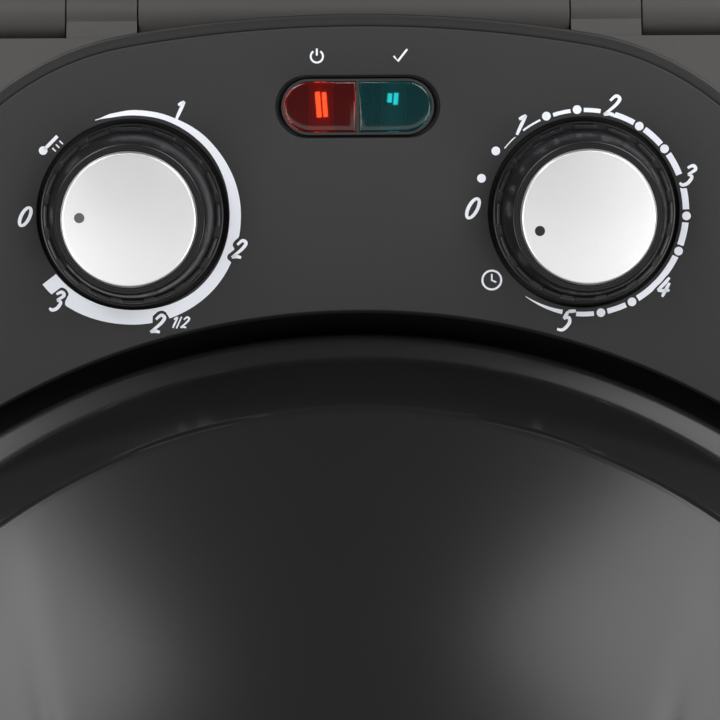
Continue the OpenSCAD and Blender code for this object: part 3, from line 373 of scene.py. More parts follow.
metals = {
    "silver_cap": {"colour": (0.90, 0.90, 0.90), "rough": 0.40, "lines": 0.0},
    "bright_sheet": {"colour": (0.70, 0.71, 0.72), "rough": 0.30, "lines": 0.10},
    "zinc_sheet": {"colour": (0.52, 0.54, 0.56), "rough": 0.42, "lines": 0.12},
    "zinc_screws": {"colour": (0.62, 0.63, 0.64), "rough": 0.32, "lines": 0.05},
    "tube_steel": {"colour": (0.17, 0.155, 0.145), "rough": 0.48, "lines": 0.08},
    "brass": {"colour": (0.72, 0.52, 0.24), "rough": 0.32, "lines": 0.06},
    "copper_tube": {"colour": (0.72, 0.38, 0.25), "rough": 0.34, "lines": 0.06},
    "timer_steel": {"colour": (0.50, 0.51, 0.53), "rough": 0.40, "lines": 0.12},
}
lenses = {
    "red_lens": {"colour": (0.66, 0.05, 0.04), "clear": 0.95},
    "green_lens": {"colour": (0.05, 0.36, 0.38), "clear": 0.95},
}
glows = {
    "red_glow": {"colour": (0.16, 0.004, 0.002), "strength": 0.30},
    "green_glow": {"colour": (0.004, 0.05, 0.05), "strength": 0.30},
    "neon_orange": {"colour": (1.0, 0.80, 0.25), "strength": 3.4},
    "neon_blue": {"colour": (0.20, 0.95, 0.95), "strength": 1.9},
}
materials = {}


def newMaterial(name):
    material = bpy.data.materials.new(name)
    material.use_nodes = True
    tree = material.node_tree
    place = tree.nodes.new("ShaderNodeTexCoord").outputs["Object"]
    materials[name] = material
    return tree, tree.nodes["Principled BSDF"], place


def useGroup(tree, group, place, **values):
    node = tree.nodes.new("ShaderNodeGroup")
    node.node_tree = group
    tree.links.new(place, node.inputs["Vector"])
    for label, value in values.items():
        node.inputs[label].default_value = value
    return node


grainRelief = {"plastic": 0.00004, "metal": 0.00005, "stone": 0.0003}  # in metres


def bumpFrom(tree, shader, height, strength, distance):
    bump = tree.nodes.new("ShaderNodeBump")
    bump.inputs["Strength"].default_value = strength
    bump.inputs["Distance"].default_value = distance
    tree.links.new(height, bump.inputs["Height"])
    tree.links.new(bump.outputs["Normal"], shader.inputs["Normal"])


def tinted(tree, colour, tone):
    scale = tree.nodes.new("ShaderNodeVectorMath")
    scale.operation = "SCALE"
    scale.inputs[0].default_value = colour
    tree.links.new(tone, scale.inputs["Scale"])
    return scale.outputs[0]


def makePlastic(name, s):
    tree, shader, place = newMaterial(name)
    fineness, contrast = s["grain"]
    grain = useGroup(tree, mouldedGrain, place, Scale=fineness, Contrast=contrast)
    wear = useGroup(tree, softWear, place, Scale=18.0, Amount=s["wear"] * 2, Level=s["rough"])
    tree.links.new(tinted(tree, s["colour"], grain.outputs["Tone"]), shader.inputs["Base Color"])
    tree.links.new(wear.outputs["Roughness"], shader.inputs["Roughness"])
    bumpFrom(tree, shader, grain.outputs["Height"], s.get("bump", 0.25 + contrast),
             grainRelief["plastic"])


def makeMetal(name, s):
    tree, shader, place = newMaterial(name)
    if s["lines"]:
        lines = useGroup(tree, brushedLines, place)
    else:
        lines = useGroup(tree, mouldedGrain, place, Scale=2600.0, Contrast=0.06)
    wear = useGroup(tree, softWear, place, Scale=25.0, Amount=0.14, Level=s["rough"])
    tree.links.new(tinted(tree, s["colour"], lines.outputs["Tone"]), shader.inputs["Base Color"])
    tree.links.new(wear.outputs["Roughness"], shader.inputs["Roughness"])
    shader.inputs["Metallic"].default_value = 1
    bumpFrom(tree, shader, lines.outputs["Height"], 0.1 + s["lines"] * 4, grainRelief["metal"])


def makeLensFinish(name, s):
    tree, shader, place = newMaterial(name)
    wear = useGroup(tree, softWear, place, Scale=60.0, Amount=0.06, Level=0.12)
    grain = useGroup(tree, mouldedGrain, place, Scale=900.0, Contrast=0.1)
    tree.links.new(tinted(tree, s["colour"], grain.outputs["Tone"]), shader.inputs["Base Color"])
    tree.links.new(wear.outputs["Roughness"], shader.inputs["Roughness"])
    shader.inputs["Transmission Weight"].default_value = s["clear"]
    shader.inputs["IOR"].default_value = 1.49


def makeGlow(name, s):
    tree, shader, place = newMaterial(name)
    grain = useGroup(tree, mouldedGrain, place, Scale=500.0, Contrast=0.3)
    glow = tinted(tree, s["colour"], grain.outputs["Tone"])
    tree.links.new(glow, shader.inputs["Base Color"])
    tree.links.new(glow, shader.inputs["Emission Color"])
    shader.inputs["Emission Strength"].default_value = s["strength"]


stoneFinish = {"colour": (0.60, 0.47, 0.33), "specks": (0.32, 0.24, 0.17), "rough": 0.88}


def makeStone(name, s):
    tree, shader, place = newMaterial(name)
    grain = useGroup(tree, mouldedGrain, place, Scale=350.0, Contrast=0.35)
    specks = useGroup(tree, speckle, place, Scale=420.0, Size=0.22)
    wear = useGroup(tree, softWear, place, Scale=9.0, Amount=0.10, Level=s["rough"])
    mix = tree.nodes.new("ShaderNodeMix")
    mix.data_type = "RGBA"
    mix.inputs[7].default_value = (*s["specks"], 1)
    tree.links.new(specks.outputs["Mask"], mix.inputs[0])
    tree.links.new(tinted(tree, s["colour"], grain.outputs["Tone"]), mix.inputs[6])
    tree.links.new(mix.outputs[2], shader.inputs["Base Color"])
    tree.links.new(wear.outputs["Roughness"], shader.inputs["Roughness"])
    bumpFrom(tree, shader, grain.outputs["Height"], 0.5, grainRelief["stone"])


for name, s in finishes.items():
    makePlastic(name, s)
for name, s in metals.items():
    makeMetal(name, s)
for name, s in lenses.items():
    makeLensFinish(name, s)
for name, s in glows.items():
    makeGlow(name, s)
makeStone("stone_clay", stoneFinish)
slotOf = {p["node"]: p["material_slot"] for p in frame["record"]["subparts"]}
for node, obj in frame["nodes"].items():
    obj.data.materials.clear()
    obj.data.materials.append(materials[slotOf[node]])
print("finishes:", len(materials))


# Helpers for meshes in millimetres

def makePiece(name, bm, body, finish, place=domeMatrix, smooth=35, node=None):
    bmesh.ops.transform(bm, matrix=Matrix.Scale(mm, 4) @ place, verts=bm.verts)
    bmesh.ops.recalc_face_normals(bm, faces=bm.faces)
    mesh = bpy.data.meshes.new(name)
    bm.to_mesh(mesh)
    bm.free()
    mesh.shade_smooth()
    mesh.set_sharp_from_angle(angle=radians(smooth))
    mesh.materials.append(materials[finish])
    obj = bpy.data.objects.new(name, mesh)
    bpy.context.scene.collection.objects.link(obj)
    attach(obj, body)
    if node:
        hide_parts(*([node] if isinstance(node, str) else node))
    return obj


def arcPoints(cx, cy, r, a0, a1, steps):  # angles in degrees, anticlockwise
    angles = [radians(a0 + (a1 - a0) * i / steps) for i in range(steps + 1)]
    return [(cx + r * cos(a), cy + r * sin(a)) for a in angles]


def latheInto(bm, profile, steps, closed=False):  # (radius, height) points spun about Z
    verts = [bm.verts.new((r, 0, z)) for r, z in profile]
    ends = verts + verts[:1] if closed else verts
    edges = [bm.edges.new(pair) for pair in zip(ends, ends[1:])]
    bmesh.ops.spin(bm, geom=verts + edges, cent=(0, 0, 0), axis=(0, 0, 1), dvec=(0, 0, 0),
                   angle=2 * pi, steps=steps, use_merge=True)
    bmesh.ops.remove_doubles(bm, verts=bm.verts, dist=0.001)


def loopInto(bm, points):  # a closed ring of vertices; its edges are returned
    verts = [bm.verts.new(p) for p in points]
    return [bm.edges.new((verts[i - 1], v)) for i, v in enumerate(verts)]


def loft(bm, rings):
    for a, b in zip(rings, rings[1:]):
        bmesh.ops.bridge_loops(bm, edges=a + b)


def addSolidify(obj, thickness):
    thick = obj.modifiers.new("thickness", "SOLIDIFY")
    thick.thickness = thickness * mm
    thick.offset = -1
    thick.use_even_offset = True


def smoothStep(x):
    x = min(max(x, 0), 1)
    return x * x * (3 - 2 * x)


# Lid shell: spun sheet with a rolled lip, a rim ledge, a slope and a creased crown

creases = {
    "left": ((-72.4, 99.5), (-64.2, 61.3)),
    "right": ((70.4, 88.6), (61.9, 60.3)),
    "depth": 0.75,
    "reach": 11,
    "soft": 1.6,
    "fade": 26,
    "endsAt": 40,
    "endRun": 50,
    "edge": (112, 130),
    # A narrow valley just outside each fold, deeper further forward
    "valley": {"left": 0.16, "right": 0.32, "out": 3.0, "half": 1.9, "start": 8, "run": 30},
}


def crownArc(drop, steps):
    r, rise = lid["crownR"], lid["crownRise"]
    big = (r * r + rise * rise) / (2 * rise)
    top = lid["crownZ"] + rise - drop
    start = asin(r / big)
    angles = [start * (1 - i / steps) for i in range(steps + 1)]
    return [(big * sin(a), top - big * (1 - cos(a))) for a in angles]


def lidSide(g, steps):  # from the seam to the crown's edge, drawn in by g
    wallR, domeR, flangeZ, rimZ = lid["wallR"], lid["domeR"], lid["flangeZ"], lid["rimZ"]
    ledgeR, crownR, crownZ = domeR - lid["rimW"], lid["crownR"], lid["crownZ"]
    bend, foot, ledge, brow = lid["bend"], lid["footBend"], lid["ledge"], lid["brow"]
    points = [(wallR - g, lid["seamZ"])]
    points += arcPoints(wallR - bend, flangeZ - bend, bend - g, 0, 90, steps)
    points += arcPoints(domeR + foot, flangeZ + foot, foot + g, 270, 180, steps)
    points += arcPoints(domeR - bend, rimZ - bend, bend - g, 0, 90, steps)
    points += arcPoints(ledgeR + ledge["in"], rimZ + ledge["bend"], ledge["bend"] + g,
                        *ledge["sweep"], steps)
    points += arcPoints(crownR - brow["in"], crownZ - brow["drop"], brow["bend"] - g,
                        *brow["sweep"], steps)
    return points


def creaseHeight(x, y):  # how far the crown's sheet stands over its plain arc
    height = 0
    for side, name in ((-1, "left"), (1, "right")):
        (x0, y0), (x1, y1) = creases[name]
        along = Vector((x1 - x0, y1 - y0)).normalized()
        offset = Vector((x - x0, y - y0))
        across = (offset.x * along.y - offset.y * along.x) * side
        outside = (hypot(across, creases["soft"]) - across) / 2
        end = 1 - smoothStep((offset.dot(along) - creases["endsAt"]) / creases["endRun"])
        fade = end * smoothStep(1 + offset.dot(along) / creases["fade"])
        height -= fade * creases["depth"] * (1 - exp(-outside / creases["reach"]))
        valley = creases["valley"]
        grown = smoothStep((offset.dot(along) - valley["start"]) / valley["run"])
        dip = exp(-((across + valley["out"]) / valley["half"]) ** 2)
        height -= end * grown * valley[name] * dip
    low, high = creases["edge"]
    return height * (1 - smoothStep((hypot(x, y) - low) / (high - low)))


def makeLidShell():
    sheet = lid["sheet"]
    outer = lidSide(0, 6) + crownArc(0, 130)[1:]
    inner = lidSide(sheet, 2) + crownArc(sheet, 24)[1:]
    bm = bmesh.new()
    latheInto(bm, outer + inner[::-1], 360)
    for v in bm.verts:
        if hypot(v.co.x, v.co.y) < lid["crownR"] - 0.5:
            v.co.z += creaseHeight(v.co.x, v.co.y)
    return makePiece("lidShell", bm, "lid", "black_paint", smooth=50, node="lid_shell")


makeLidShell()
print("lid shell")


# Control housing: the hump's outline in plan, and rings on it at a chosen inset

housing = {
    "rearArcR": 331,
    "shoulderR": 68.1,
    "shoulderX": 41.1,
    "wall": 2.2,
    "stepW": 3.1,
    "stepD": 1.0,
    "tailRise": 2.7,
    "edgeRound": 0.8,
    "panelRound": 0.35,
    "panelSheet": 1.4,
    "panelSink": 0.3,
    "rimUnder": 2,
    "coverReach": 60,
}
rearY = panelOrigin.y - axisY + panel["length"] * cos(tilt)
arcY = rearY - housing["rearArcR"]
shoulderY = arcY + sqrt((housing["rearArcR"] - housing["shoulderR"]) ** 2
                        - housing["shoulderX"] ** 2)
originY = panelOrigin.y - axisY
tailY = originY - (panelOrigin.z - lid["flangeZ"] - housing["tailRise"]) / tan(tilt)


def meetLid(g):  # where a shoulder meets the lid's round wall
    d = hypot(housing["shoulderX"], shoulderY)
    far, near = lid["wallR"] - g, housing["shoulderR"] - g
    along = (far * far - near * near + d * d) / (2 * d)
    side = sqrt(far * far - along * along)
    ux, uy = housing["shoulderX"] / d, shoulderY / d
    return along * ux + side * uy, along * uy - side * ux


def frontY(x, g):  # the panel's hollow front edge, in plan
    r = panel["frontR"] + g
    return originY + (sqrt(r * r - x * x) - panel["frontR"]) * cos(tilt)


def frontX(y, g):
    v = (y - originY) / cos(tilt) + panel["frontR"]
    return sqrt((panel["frontR"] + g) ** 2 - v * v)


def housingOutline(g, frontG, steps=24):  # right half, from the rear's middle to the front's
    tangent = degrees(atan2(shoulderY - arcY, housing["shoulderX"]))
    nx, ny = meetLid(g)
    notch = degrees(atan2(ny - shoulderY, nx - housing["shoulderX"]))
    low = tailY + max(frontG, g)
    points = arcPoints(0, arcY, housing["rearArcR"] - g, 90, tangent, steps)
    points += arcPoints(housing["shoulderX"], shoulderY, housing["shoulderR"] - g,
                        tangent, notch, steps)[1:]
    lidR = lid["wallR"] - g
    points += arcPoints(0, 0, lidR, degrees(atan2(ny, nx)), degrees(asin(low / lidR)), steps)[1:]
    cornerX = frontX(low, frontG)
    points += [(cornerX * (1 - i / 40), frontY(cornerX * (1 - i / 40), frontG))
               for i in range(0, 40)]
    return points


def fullOutline(g, frontG):
    half = housingOutline(g, frontG)
    return half + [(0, frontY(0, frontG))] + [(-x, y) for x, y in reversed(half[1:])]


def onPlane(points, drop=0):  # heights on the panel's plane, lowered by drop
    z0 = panelOrigin.z - drop
    return [(x, y, z0 + (y - originY) * tan(tilt)) for x, y in points]


def sideFoot(points):  # the housing's foot: on the lid's flange, or on the rear cover behind it
    feet = []
    coverZ = coverHigh[2]
    for x, y in points:
        behind = hypot(x, y) > lid["wallR"] + 0.2 or y > rearY - housing["coverReach"]
        onCover = behind and hypot(x, y) > lid["wallR"] + 0.05
        feet.append((x, y, coverZ if onCover else lid["flangeZ"]))
    return feet


def makeHousing():
    r, stepW, stepD = housing["edgeRound"], housing["stepW"], housing["stepD"]
    bm = bmesh.new()
    rings = []
    foot = sideFoot(fullOutline(0, 0))
    top = onPlane(fullOutline(0, 0), stepD + r)
    lean = []
    for low, high in zip(foot, top):  # the front wall stands square to the panel
        if hypot(high[0], high[1]) < lid["wallR"] - 0.5:
            back = (high[2] - low[2]) * tan(tilt)
            low = (low[0], low[1] + back, low[2])
        lean.append(low)
    rings.append(loopInto(bm, lean))
    rings.append(loopInto(bm, top))
    for i in range(1, 4):
        a = pi / 2 * i / 3
        rings.append(loopInto(bm, onPlane(fullOutline(r * (1 - cos(a)), r * (1 - cos(a))),
                                          stepD + r * (1 - sin(a)))))
    under = stepW + housing["rimUnder"]
    rings.append(loopInto(bm, onPlane(fullOutline(under, under), stepD)))
    loft(bm, rings)
    # The walls and rim band take the darker rim plastic: painted shade, the same plastic as the panel
    piece = makePiece("housingShell", bm, "lid", "rim_plastic", smooth=40, node="control_housing")
    addSolidify(piece, housing["wall"])
    return piece


pocket = {"r": 21.2, "depth": 3, "hole": 5.2, "round": 0.4}
recess = {"length": 36.3, "width": 13.7, "depth": 2.5, "round": 0.45,
          "holeLength": 34.2, "holeWidth": 12.7}


def circlePoints(r, steps=96):
    return arcPoints(0, 0, r, 0, 360, steps)[:-1]


def stadium(length, width, steps=24):
    r, half = width / 2, (length - width) / 2
    return arcPoints(half, 0, r, -90, 90, steps) + arcPoints(-half, 0, r, 90, 270, steps)


def lifted(points, z, x=0, y=0):
    return [(px + x, py + y, z) for px, py in points]


def inPanel(points):  # plan points about the dome's axis, in the panel's own frame
    return [(x, (y - originY) / cos(tilt)) for x, y in points]


def roundedMouth(bm, shape, r, x, y):  # rings from the panel's face down into a hole's wall
    rings = []
    for a in (0, 30, 60, 90):
        g = r * (1 - sin(radians(a)))
        rings.append(loopInto(bm, lifted(shape(g), -r * (1 - cos(radians(a))), x, y)))
    return rings


def makePanel():
    r, w = housing["panelRound"], housing["stepW"]
    bm = bmesh.new()
    edge = [loopInto(bm, lifted(inPanel(fullOutline(w, 0)),
                                -housing["stepD"] - housing["panelSink"]))]
    for a in (0, 30, 60, 90):
        g = r * (1 - cos(radians(a)))
        edge.append(loopInto(bm, lifted(inPanel(fullOutline(w + g, g)),
                                        -r * (1 - sin(radians(a))))))
    loft(bm, edge)
    face = list(edge[-1])
    for x in (-knobX, knobX):
        rings = roundedMouth(bm, lambda g: circlePoints(pocket["r"] + g), pocket["round"],
                             x, panel["knobUp"])
        for ringR in (pocket["r"], pocket["hole"]):
            rings.append(loopInto(bm, lifted(circlePoints(ringR), -pocket["depth"],
                                             x, panel["knobUp"])))
        loft(bm, rings)
        face += rings[0]
    rings = roundedMouth(bm, lambda g: stadium(recess["length"] + 2 * g, recess["width"] + 2 * g),
                         recess["round"], 0, panel["lightsUp"])
    for length, width in ((recess["length"], recess["width"]),
                          (recess["holeLength"], recess["holeWidth"])):
        rings.append(loopInto(bm, lifted(stadium(length, width), -recess["depth"],
                                         0, panel["lightsUp"])))
    loft(bm, rings)
    bmesh.ops.triangle_fill(bm, edges=face + rings[0], use_beauty=True, normal=(0, 0, 1))
    piece = makePiece("controlPanel", bm, "lid", "panel_plastic", panelMatrix(), smooth=30)
    addSolidify(piece, housing["panelSheet"])


makeHousing()
makePanel()
print("control housing")


# Knobs: a ribbed skirt, a smooth slope, fine rings, and a silver cap with a bright chamfer

knob = {
    "steps": 320,
    "gaps": 16,
    "gapHalf": 3.4,  # in degrees
    "gapR": (18.7, 19.65),
    "gapLow": 1.3,
    "gapDrop": 0.12,
    "dotSize": 1.12,
    "dotZ": 15.03,
    "dotThick": 0.1,
}
knobProfile = [
    (0, 4.5), (14, 4.5), (14, -2.4), (20.3, -2.4), (20.3, 1.1), (20.2, 1.3), (19.95, 1.35),
    (19.85, 1.2), (19.7, 1.2), (19.6, 1.35), (19.6, 2.7), (19.45, 3.0), (19.1, 3.1), (18.8, 3.05),
    (18.65, 2.9), (18.5, 3.05), (18.2, 4.2), (16.7, 13.4), (16.5, 13.75), (16.3, 13.85),
    (16.22, 13.65), (16.08, 13.65), (16.0, 13.95), (15.8, 13.95), (15.72, 13.7), (15.55, 13.7),
    (15.46, 13.95), (15.2, 13.95), (15.1, 13.7), (15.08, 13.2), (0, 13.2)]
capProfile = [(0, 13.25), (14.98, 13.25), (14.98, 14.4), (14.9, 14.55), (14.55, 14.92),
              (14.4, 14.98), (14.2, 15.0), (0, 15.0)]
knobs = {
    "temp": {"x": -knobX, "body": "temp_control", "dotR": 10.8, "dotAngle": -87.4,
             "ink": "print_grey"},
    "timer": {"x": knobX, "body": "timer_control", "dotR": 11.1, "dotAngle": -105.2,
              "ink": "knob_plastic"},
}


def makeKnob(name, s):
    place = panelMatrix(s["x"], panel["knobUp"])
    bm = bmesh.new()
    latheInto(bm, knobProfile, knob["steps"])
    pitch = 360 / knob["gaps"]
    nearR, farR = knob["gapR"]
    for v in bm.verts:
        r = hypot(v.co.x, v.co.y)
        angle = degrees(atan2(v.co.y, v.co.x)) % pitch
        inGap = abs(angle - pitch / 2) < knob["gapHalf"]
        if nearR < r < farR and v.co.z > knob["gapLow"] and inGap:
            v.co.xy *= nearR / r
            v.co.z -= knob["gapDrop"]
    makePiece(name + "KnobBody", bm, s["body"], "knob_plastic", place, 28, name + "_knob")
    bm = bmesh.new()
    latheInto(bm, capProfile, 192)
    makePiece(name + "KnobCap", bm, s["body"], "silver_cap", place, 20, name + "_knob_cap")
    bm = bmesh.new()
    a = radians(s["dotAngle"])
    disc = loopInto(bm, lifted(circlePoints(knob["dotSize"], 48), knob["dotZ"],
                               s["dotR"] * sin(a), s["dotR"] * cos(a)))
    face = bmesh.ops.edgeloop_fill(bm, edges=disc)["faces"]
    bmesh.ops.solidify(bm, geom=face, thickness=knob["dotThick"])
    makePiece(name + "KnobDot", bm, s["body"], s["ink"], place, 20)


for name, s in knobs.items():
    makeKnob(name, s)
print("knobs")


# Pilot lights: two half-stadium lenses with a glowing lamp behind each

lensShape = {"length": 32.7, "width": 11.2, "middle": 0.4}
lensRings = [(0, -4.4), (0, -1.0), (0.08, -0.82), (0.28, -0.68), (0.6, -0.62), (1.6, -0.6)]
# The electrodes show through the lamp's glass: across, up, half length and radius of each
lampX, lampTop = 8.0, -9.45
electrodes = {
    "red": {"glow": "neon_orange", "rods": [(-0.75, 0.2, 2.8, 0.52), (0.72, 0.2, 2.7, 0.48)],
            "lean": 4},
    "green": {"glow": "neon_blue", "rods": [(-0.75, 1.6, 1.0, 0.5), (0.65, 1.4, 1.3, 0.5)],
              "lean": -6},
}


def halfStadium(side, g, steps=24):
    r = lensShape["width"] / 2
    end = (lensShape["length"] - lensShape["width"]) / 2
    near = lensShape["middle"] + g
    points = [(near, -r + g)] + arcPoints(end, 0, r - g, -90, 90, steps) + [(near, r - g)]
    return [(side * x, y) for x, y in points]


def makeLight(name, side):
    place = panelMatrix(0, panel["lightsUp"])
    bm = bmesh.new()
    rings = [loopInto(bm, lifted(halfStadium(side, g), z)) for g, z in lensRings]
    loft(bm, rings)
    for ring in (rings[0], rings[-1]):
        bmesh.ops.edgeloop_fill(bm, edges=ring)
    makePiece(name + "Lens", bm, "lid", name + "_lens", place, 30, name + "_lens")
    s = electrodes[name]
    bm = bmesh.new()
    for x, y, half, r in s["rods"]:
        turn = Matrix.Rotation(radians(s["lean"]), 4, "Z") @ Matrix.Rotation(pi / 2, 4, "X")
        turn.translation = (side * lampX + x, y, lampTop)
        bmesh.ops.create_cone(bm, cap_ends=True, segments=24, radius1=r, radius2=r,
                              depth=2 * half, matrix=turn)
    makePiece(name + "Electrodes", bm, "lid", s["glow"], place, 30)


makeLight("red", -1)
makeLight("green", 1)
print("pilot lights")


# Printing on the panel: scales, brush-like digits and plain pictograms

ink = {"z": 0.045, "thick": 0.06, "width": 0.78, "slant": 0.42}
# Centre lines of each digit's strokes in a cell 0.6 wide and 1 high
digitStrokes = {
    "0": [],
    "1": [[(0.12, 0.80), (0.40, 1.0)], [(0.40, 1.0), (0.36, 0.5), (0.34, 0.0)]],
    "2": [[(0.06, 0.76), (0.26, 1.0), (0.52, 0.84), (0.42, 0.50), (0.04, 0.04)],
          [(0.04, 0.04), (0.30, 0.09), (0.58, 0.02)]],
    "3": [[(0.08, 0.88), (0.32, 1.0), (0.52, 0.80), (0.24, 0.55)],
          [(0.24, 0.55), (0.50, 0.42), (0.42, 0.10), (0.18, 0.0), (0.0, 0.12)]],
    "4": [[(0.34, 1.0), (0.20, 0.66), (0.0, 0.34)], [(0.0, 0.34), (0.30, 0.31), (0.62, 0.34)],
          [(0.46, 0.72), (0.42, 0.36), (0.38, 0.0)]],
    "5": [[(0.58, 1.0), (0.20, 0.98)], [(0.20, 0.98), (0.16, 0.80), (0.12, 0.60)],
          [(0.12, 0.60), (0.36, 0.66), (0.50, 0.36), (0.32, 0.03), (0.0, 0.06)]],
}
# Marks on the dials: what, its radius, its angle clockwise from the top, and its height
tempScale = {
    "digits": [("0", 23.8, -90.6, 4.0), ("1", 25.5, 24.7, 3.8), ("2", 25.0, 108.2, 3.9),
               ("2", 25.0, 167.4, 3.9), ("3", 25.5, 221.4, 4.0)],
    "half": (26.2, 157.0),
    "angles": [-20.7, -10, 3, 20, 45, 90, 137, 181, 232.7],
    "outer": [22.5, 22.95, 23.3, 23.45, 23.8, 24.1, 24.5, 24.5, 25.4],
    "inner": [22.42, 22.05, 22.1, 22.25, 22.15, 21.6, 21.9, 21.25, 21.55],
    "clear": 0.62,
}
timerScale = {
    "marks": [("0", 24.7, -87.6), ("", 24.05, -71.3), ("", 23.95, -54.9), ("1", 24.1, -36.1),
              ("", 23.0, -21.3), ("", 22.9, -3.9), ("2", 24.5, 15.0), ("", 22.7, 32.7),
              ("", 22.75, 51.9), ("3", 24.7, 70.8), ("", 22.9, 92.3), ("", 22.9, 112.5),
              ("4", 24.7, 132.9), ("", 22.8, 151.7), ("", 22.8, 170.2), ("5", 24.5, 189.0)],
    "dot": 0.97, "height": 4.3,
    # Each bar: its angles and its thickness
    "bars": [(-50.9, -42.0, 0.25), (-36.5, -25.3, 0.45), (-17.6, -7.6, 0.85), (-0.2, 9.3, 0.95),
             (15.3, 29.2, 1.2), (36.1, 48.6, 1.35), (55.5, 68.6, 1.4), (76.0, 88.6, 1.45),
             (96.0, 109.0, 1.45), (115.8, 148.0, 1.4), (155.5, 166.5, 1.2), (174.2, 184.2, 1.05)],
    "barR": 22.75,
    "tail": (214.7, 192.0, 0.12, 1.0),
    "clear": 0.35,
}


def smoothLine(points, steps=7):  # a smooth curve through the given points
    out = []
    for i in range(len(points) - 1):
        p0, p1, p2 = points[max(i - 1, 0)], points[i], points[i + 1]
        p3 = points[min(i + 2, len(points) - 1)]
        for k in range(steps):
            t = k / steps
            out.append(tuple(0.5 * (2 * b + (c - a) * t + (2 * a - 5 * b + 4 * c - d) * t * t
                                    + (3 * b - a - 3 * c + d) * t ** 3)
                             for a, b, c, d in zip(p0, p1, p2, p3)))
    return out + [points[-1]]


def ribbonInto(bm, line, widths, closed=False):  # a flat stroke, with a width at each point
    sides = ([], [])
    last = len(line) - 1
    for i, (x, y) in enumerate(line):
        before, after = line[max(i - 1, 0)], line[min(i + 1, last)]
        if closed:
            before, after = line[i - 1], line[(i + 1) % len(line)]
        along = Vector((after[0] - before[0], after[1] - before[1])).normalized()
        for side, sign in zip(sides, (-1, 1)):
            side.append(bm.verts.new((x - sign * along.y * widths[i] / 2,
                                      y + sign * along.x * widths[i] / 2, ink["z"])))
    ends = [side + side[:1] if closed else side for side in sides]
    edges = [bm.edges.new(pair) for side in ends for pair in zip(side, side[1:])]
    bmesh.ops.bridge_loops(bm, edges=edges)


def brushWidths(count, width):  # thin where the brush lands and leaves
    return [width * (0.55 + 0.45 * sin(pi * min(max(i / (count - 1), 0.06), 0.94)) ** 0.6)
            for i in range(count)]


def digitInto(bm, digit, x, y, height, width=ink["width"]):  # returns its centre lines' points
    def leaning(px, py):
        return (px + ink["slant"] * py) * height + x, py * height + y
    if digit == "0":
        turns = [2 * pi * i / 40 for i in range(40)]
        ribbonInto(bm, [leaning(0.25 * cos(a), 0.5 * sin(a)) for a in turns],
                   [width * (0.8 + 0.2 * abs(cos(a))) for a in turns], True)
    drawn = []
    for stroke in digitStrokes[digit]:
        line = smoothLine([leaning(px - 0.3, py - 0.5) for px, py in stroke])
        ribbonInto(bm, line, brushWidths(len(line), width))
        drawn += line
    return drawn


def clearOf(drawn, gap):  # an edge at radius r that steps inwards round the drawn digits
    def edge(a, r, least):
        ux, uy = sin(radians(a)), cos(radians(a))
        near = [q for q in drawn if hypot(q[0] - r * ux, q[1] - r * uy) < 4]
        while r > least and any(hypot(r * ux - x, r * uy - y) < gap for x, y in near):
            r -= 0.04
        return max(r, least)
    return edge


def between(stops, values, a):  # a smooth value between stops
    for i in range(len(stops) - 1):
        if a <= stops[i + 1]:
            break
    share = (a - stops[i]) / (stops[i + 1] - stops[i])
    return values[i] + (values[i + 1] - values[i]) * smoothStep(share)


def discInto(bm, x, y, r):
    bmesh.ops.edgeloop_fill(bm, edges=loopInto(bm, lifted(circlePoints(r, 32), ink["z"], x, y)))


def onDial(r, angle):  # angle clockwise from the dial's top
    return r * sin(radians(angle)), r * cos(radians(angle))


def bandInto(bm, angles, outerAt, innerAt):
    rims = ([], [])
    for a in angles:
        for rim, r in zip(rims, (outerAt(a), innerAt(a))):
            rim.append(bm.verts.new((*onDial(r, a), ink["z"])))
    edges = [bm.edges.new(pair) for rim in rims for pair in zip(rim, rim[1:])]
    bmesh.ops.bridge_loops(bm, edges=edges)


def finishPrint(name, bm, x, y, finish="print_white"):
    bmesh.ops.solidify(bm, geom=bm.faces[:], thickness=ink["thick"])
    makePiece(name, bm, "lid", finish, panelMatrix(x, y), 20)


def makeTempScale():
    s = tempScale
    bm = bmesh.new()
    drawn = []
    for digit, r, angle, height in s["digits"]:
        points = digitInto(bm, digit, *onDial(r, angle), height)
        if digit in "23":
            drawn += points
    hx, hy = onDial(*s["half"])
    digitInto(bm, "1", hx - 1.15, hy, 2.4, 0.45)
    ribbonInto(bm, [(hx - 0.75, hy - 1.3), (hx + 0.45, hy + 1.3)], [0.34, 0.34])
    digitInto(bm, "2", hx + 1.25, hy, 2.4, 0.45)
    edge = clearOf(drawn, s["clear"] + ink["width"] / 2)
    first, last = s["angles"][0], s["angles"][-1]
    angles = [first + (last - first) * i / 300 for i in range(301)]

    def innerAt(a):
        return between(s["angles"], s["inner"], a)
    bandInto(bm, angles, lambda a: edge(a, between(s["angles"], s["outer"], a), innerAt(a) + 0.2),
             innerAt)
    finishPrint("tempScale", bm, -knobX, panel["knobUp"])


def makeTimerScale():
    s = timerScale
    bm = bmesh.new()
    drawn = []
    for digit, r, angle in s["marks"]:
        if digit:
            drawn += digitInto(bm, digit, *onDial(r, angle), s["height"])
        else:
            discInto(bm, *onDial(r, angle), s["dot"])
    edge = clearOf(drawn, s["clear"] + ink["width"] / 2)
    for first, last, thick in s["bars"]:
        angles = [first + (last - first) * i / 24 for i in range(25)]
        inner = s["barR"] - thick / 2
        bandInto(bm, angles, lambda a: edge(a, inner + thick, inner + 0.1), lambda a: inner)
    start, end, thin, wide = s["tail"]
    angles = [start + (end - start) * i / 20 for i in range(21)]

    def half(a):
        return (thin + (wide - thin) * (a - start) / (end - start)) / 2
    bandInto(bm, angles, lambda a: s["barR"] + half(a), lambda a: s["barR"] - half(a))
    finishPrint("timerScale", bm, knobX, panel["knobUp"])


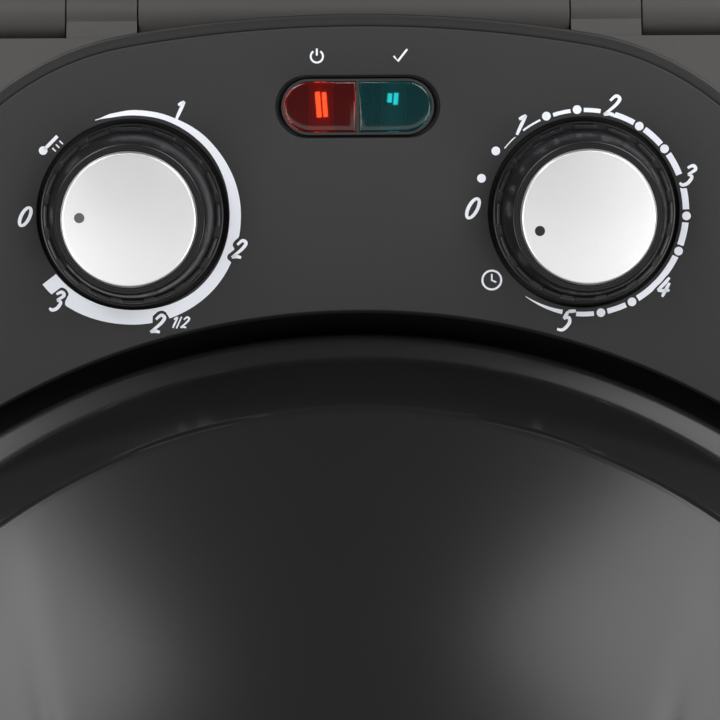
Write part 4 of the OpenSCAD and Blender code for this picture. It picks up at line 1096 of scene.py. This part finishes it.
pictograms = {
    "thermometer": (-knobX - 18.1, panel["knobUp"] + 15.9),
    "clock": (knobX - 20.5, panel["knobUp"] - 15.0),
    "power": (-9.0, 56.6),
    "ready": (9.4, 56.6),
}


def makePictograms():
    bm = bmesh.new()
    x, y = pictograms["thermometer"]
    discInto(bm, x - 1.5, y - 1.5, 0.95)
    ribbonInto(bm, [(x - 1.2, y - 1.2), (x + 1.7, y + 1.7)], [0.75, 0.75])
    for i in range(3):
        tx, ty = x - 0.2 + 0.8 * i, y - 0.2 + 0.8 * i
        ribbonInto(bm, [(tx + 0.75, ty - 0.75), (tx + 1.5, ty - 1.5)], [0.3, 0.3])
    x, y = pictograms["clock"]
    ring = [(x + px, y + py) for px, py in circlePoints(2.1, 48)]
    ribbonInto(bm, ring, [0.45] * 48, True)
    ribbonInto(bm, [(x, y - 0.15), (x, y + 1.35)], [0.38, 0.38])
    ribbonInto(bm, [(x - 0.1, y), (x + 1.0, y - 0.5)], [0.38, 0.38])
    x, y = pictograms["power"]
    arc = arcPoints(x, y, 1.35, 125, 415, 36)
    ribbonInto(bm, arc, [0.42] * 37)
    ribbonInto(bm, [(x, y + 0.2), (x, y + 1.75)], [0.42, 0.42])
    x, y = pictograms["ready"]
    ribbonInto(bm, [(x - 1.4, y), (x - 0.45, y - 1.1), (x + 1.6, y + 1.5)], [0.45, 0.5, 0.45])
    finishPrint("pictograms", bm, 0, 0)


makeTempScale()
makeTimerScale()
makePictograms()
print("printing")


# Covers, handles and feet: the frame's own solids with softened edges

def softenedCopy(name, node, body, finish, width, segments=2, smooth=30):
    source = frame["nodes"][node].data
    bm = bmesh.new()
    bm.from_mesh(source)
    bmesh.ops.remove_doubles(bm, verts=bm.verts, dist=0.00001)
    bmesh.ops.dissolve_limit(bm, angle_limit=radians(1.5), verts=bm.verts, edges=bm.edges)
    piece = makePiece(name, bm, body, finish, Matrix.Scale(1 / mm, 4), smooth, node)
    edge = piece.modifiers.new("edge", "BEVEL")
    edge.width = width * mm
    edge.segments = segments
    edge.limit_method = "ANGLE"
    edge.angle_limit = radians(35)
    edge.harden_normals = True
    return piece


softened = {
    "rearCover": ("rear_cover", "lid", "warm_grey_plastic", 0.8),
    "hingeHousing": ("hinge_housing", "base", "warm_grey_plastic", 0.8),
    "lidHandle": ("lid_handle", "lid", "bakelite", 0.6),
    "baseGrip": ("base_grip", "base", "bakelite", 0.6),
    "rubberFeet": ("feet", "base", "black_plastic", 0.8),
}
for name, s in softened.items():
    softenedCopy(name, *s)
print("base and handles")
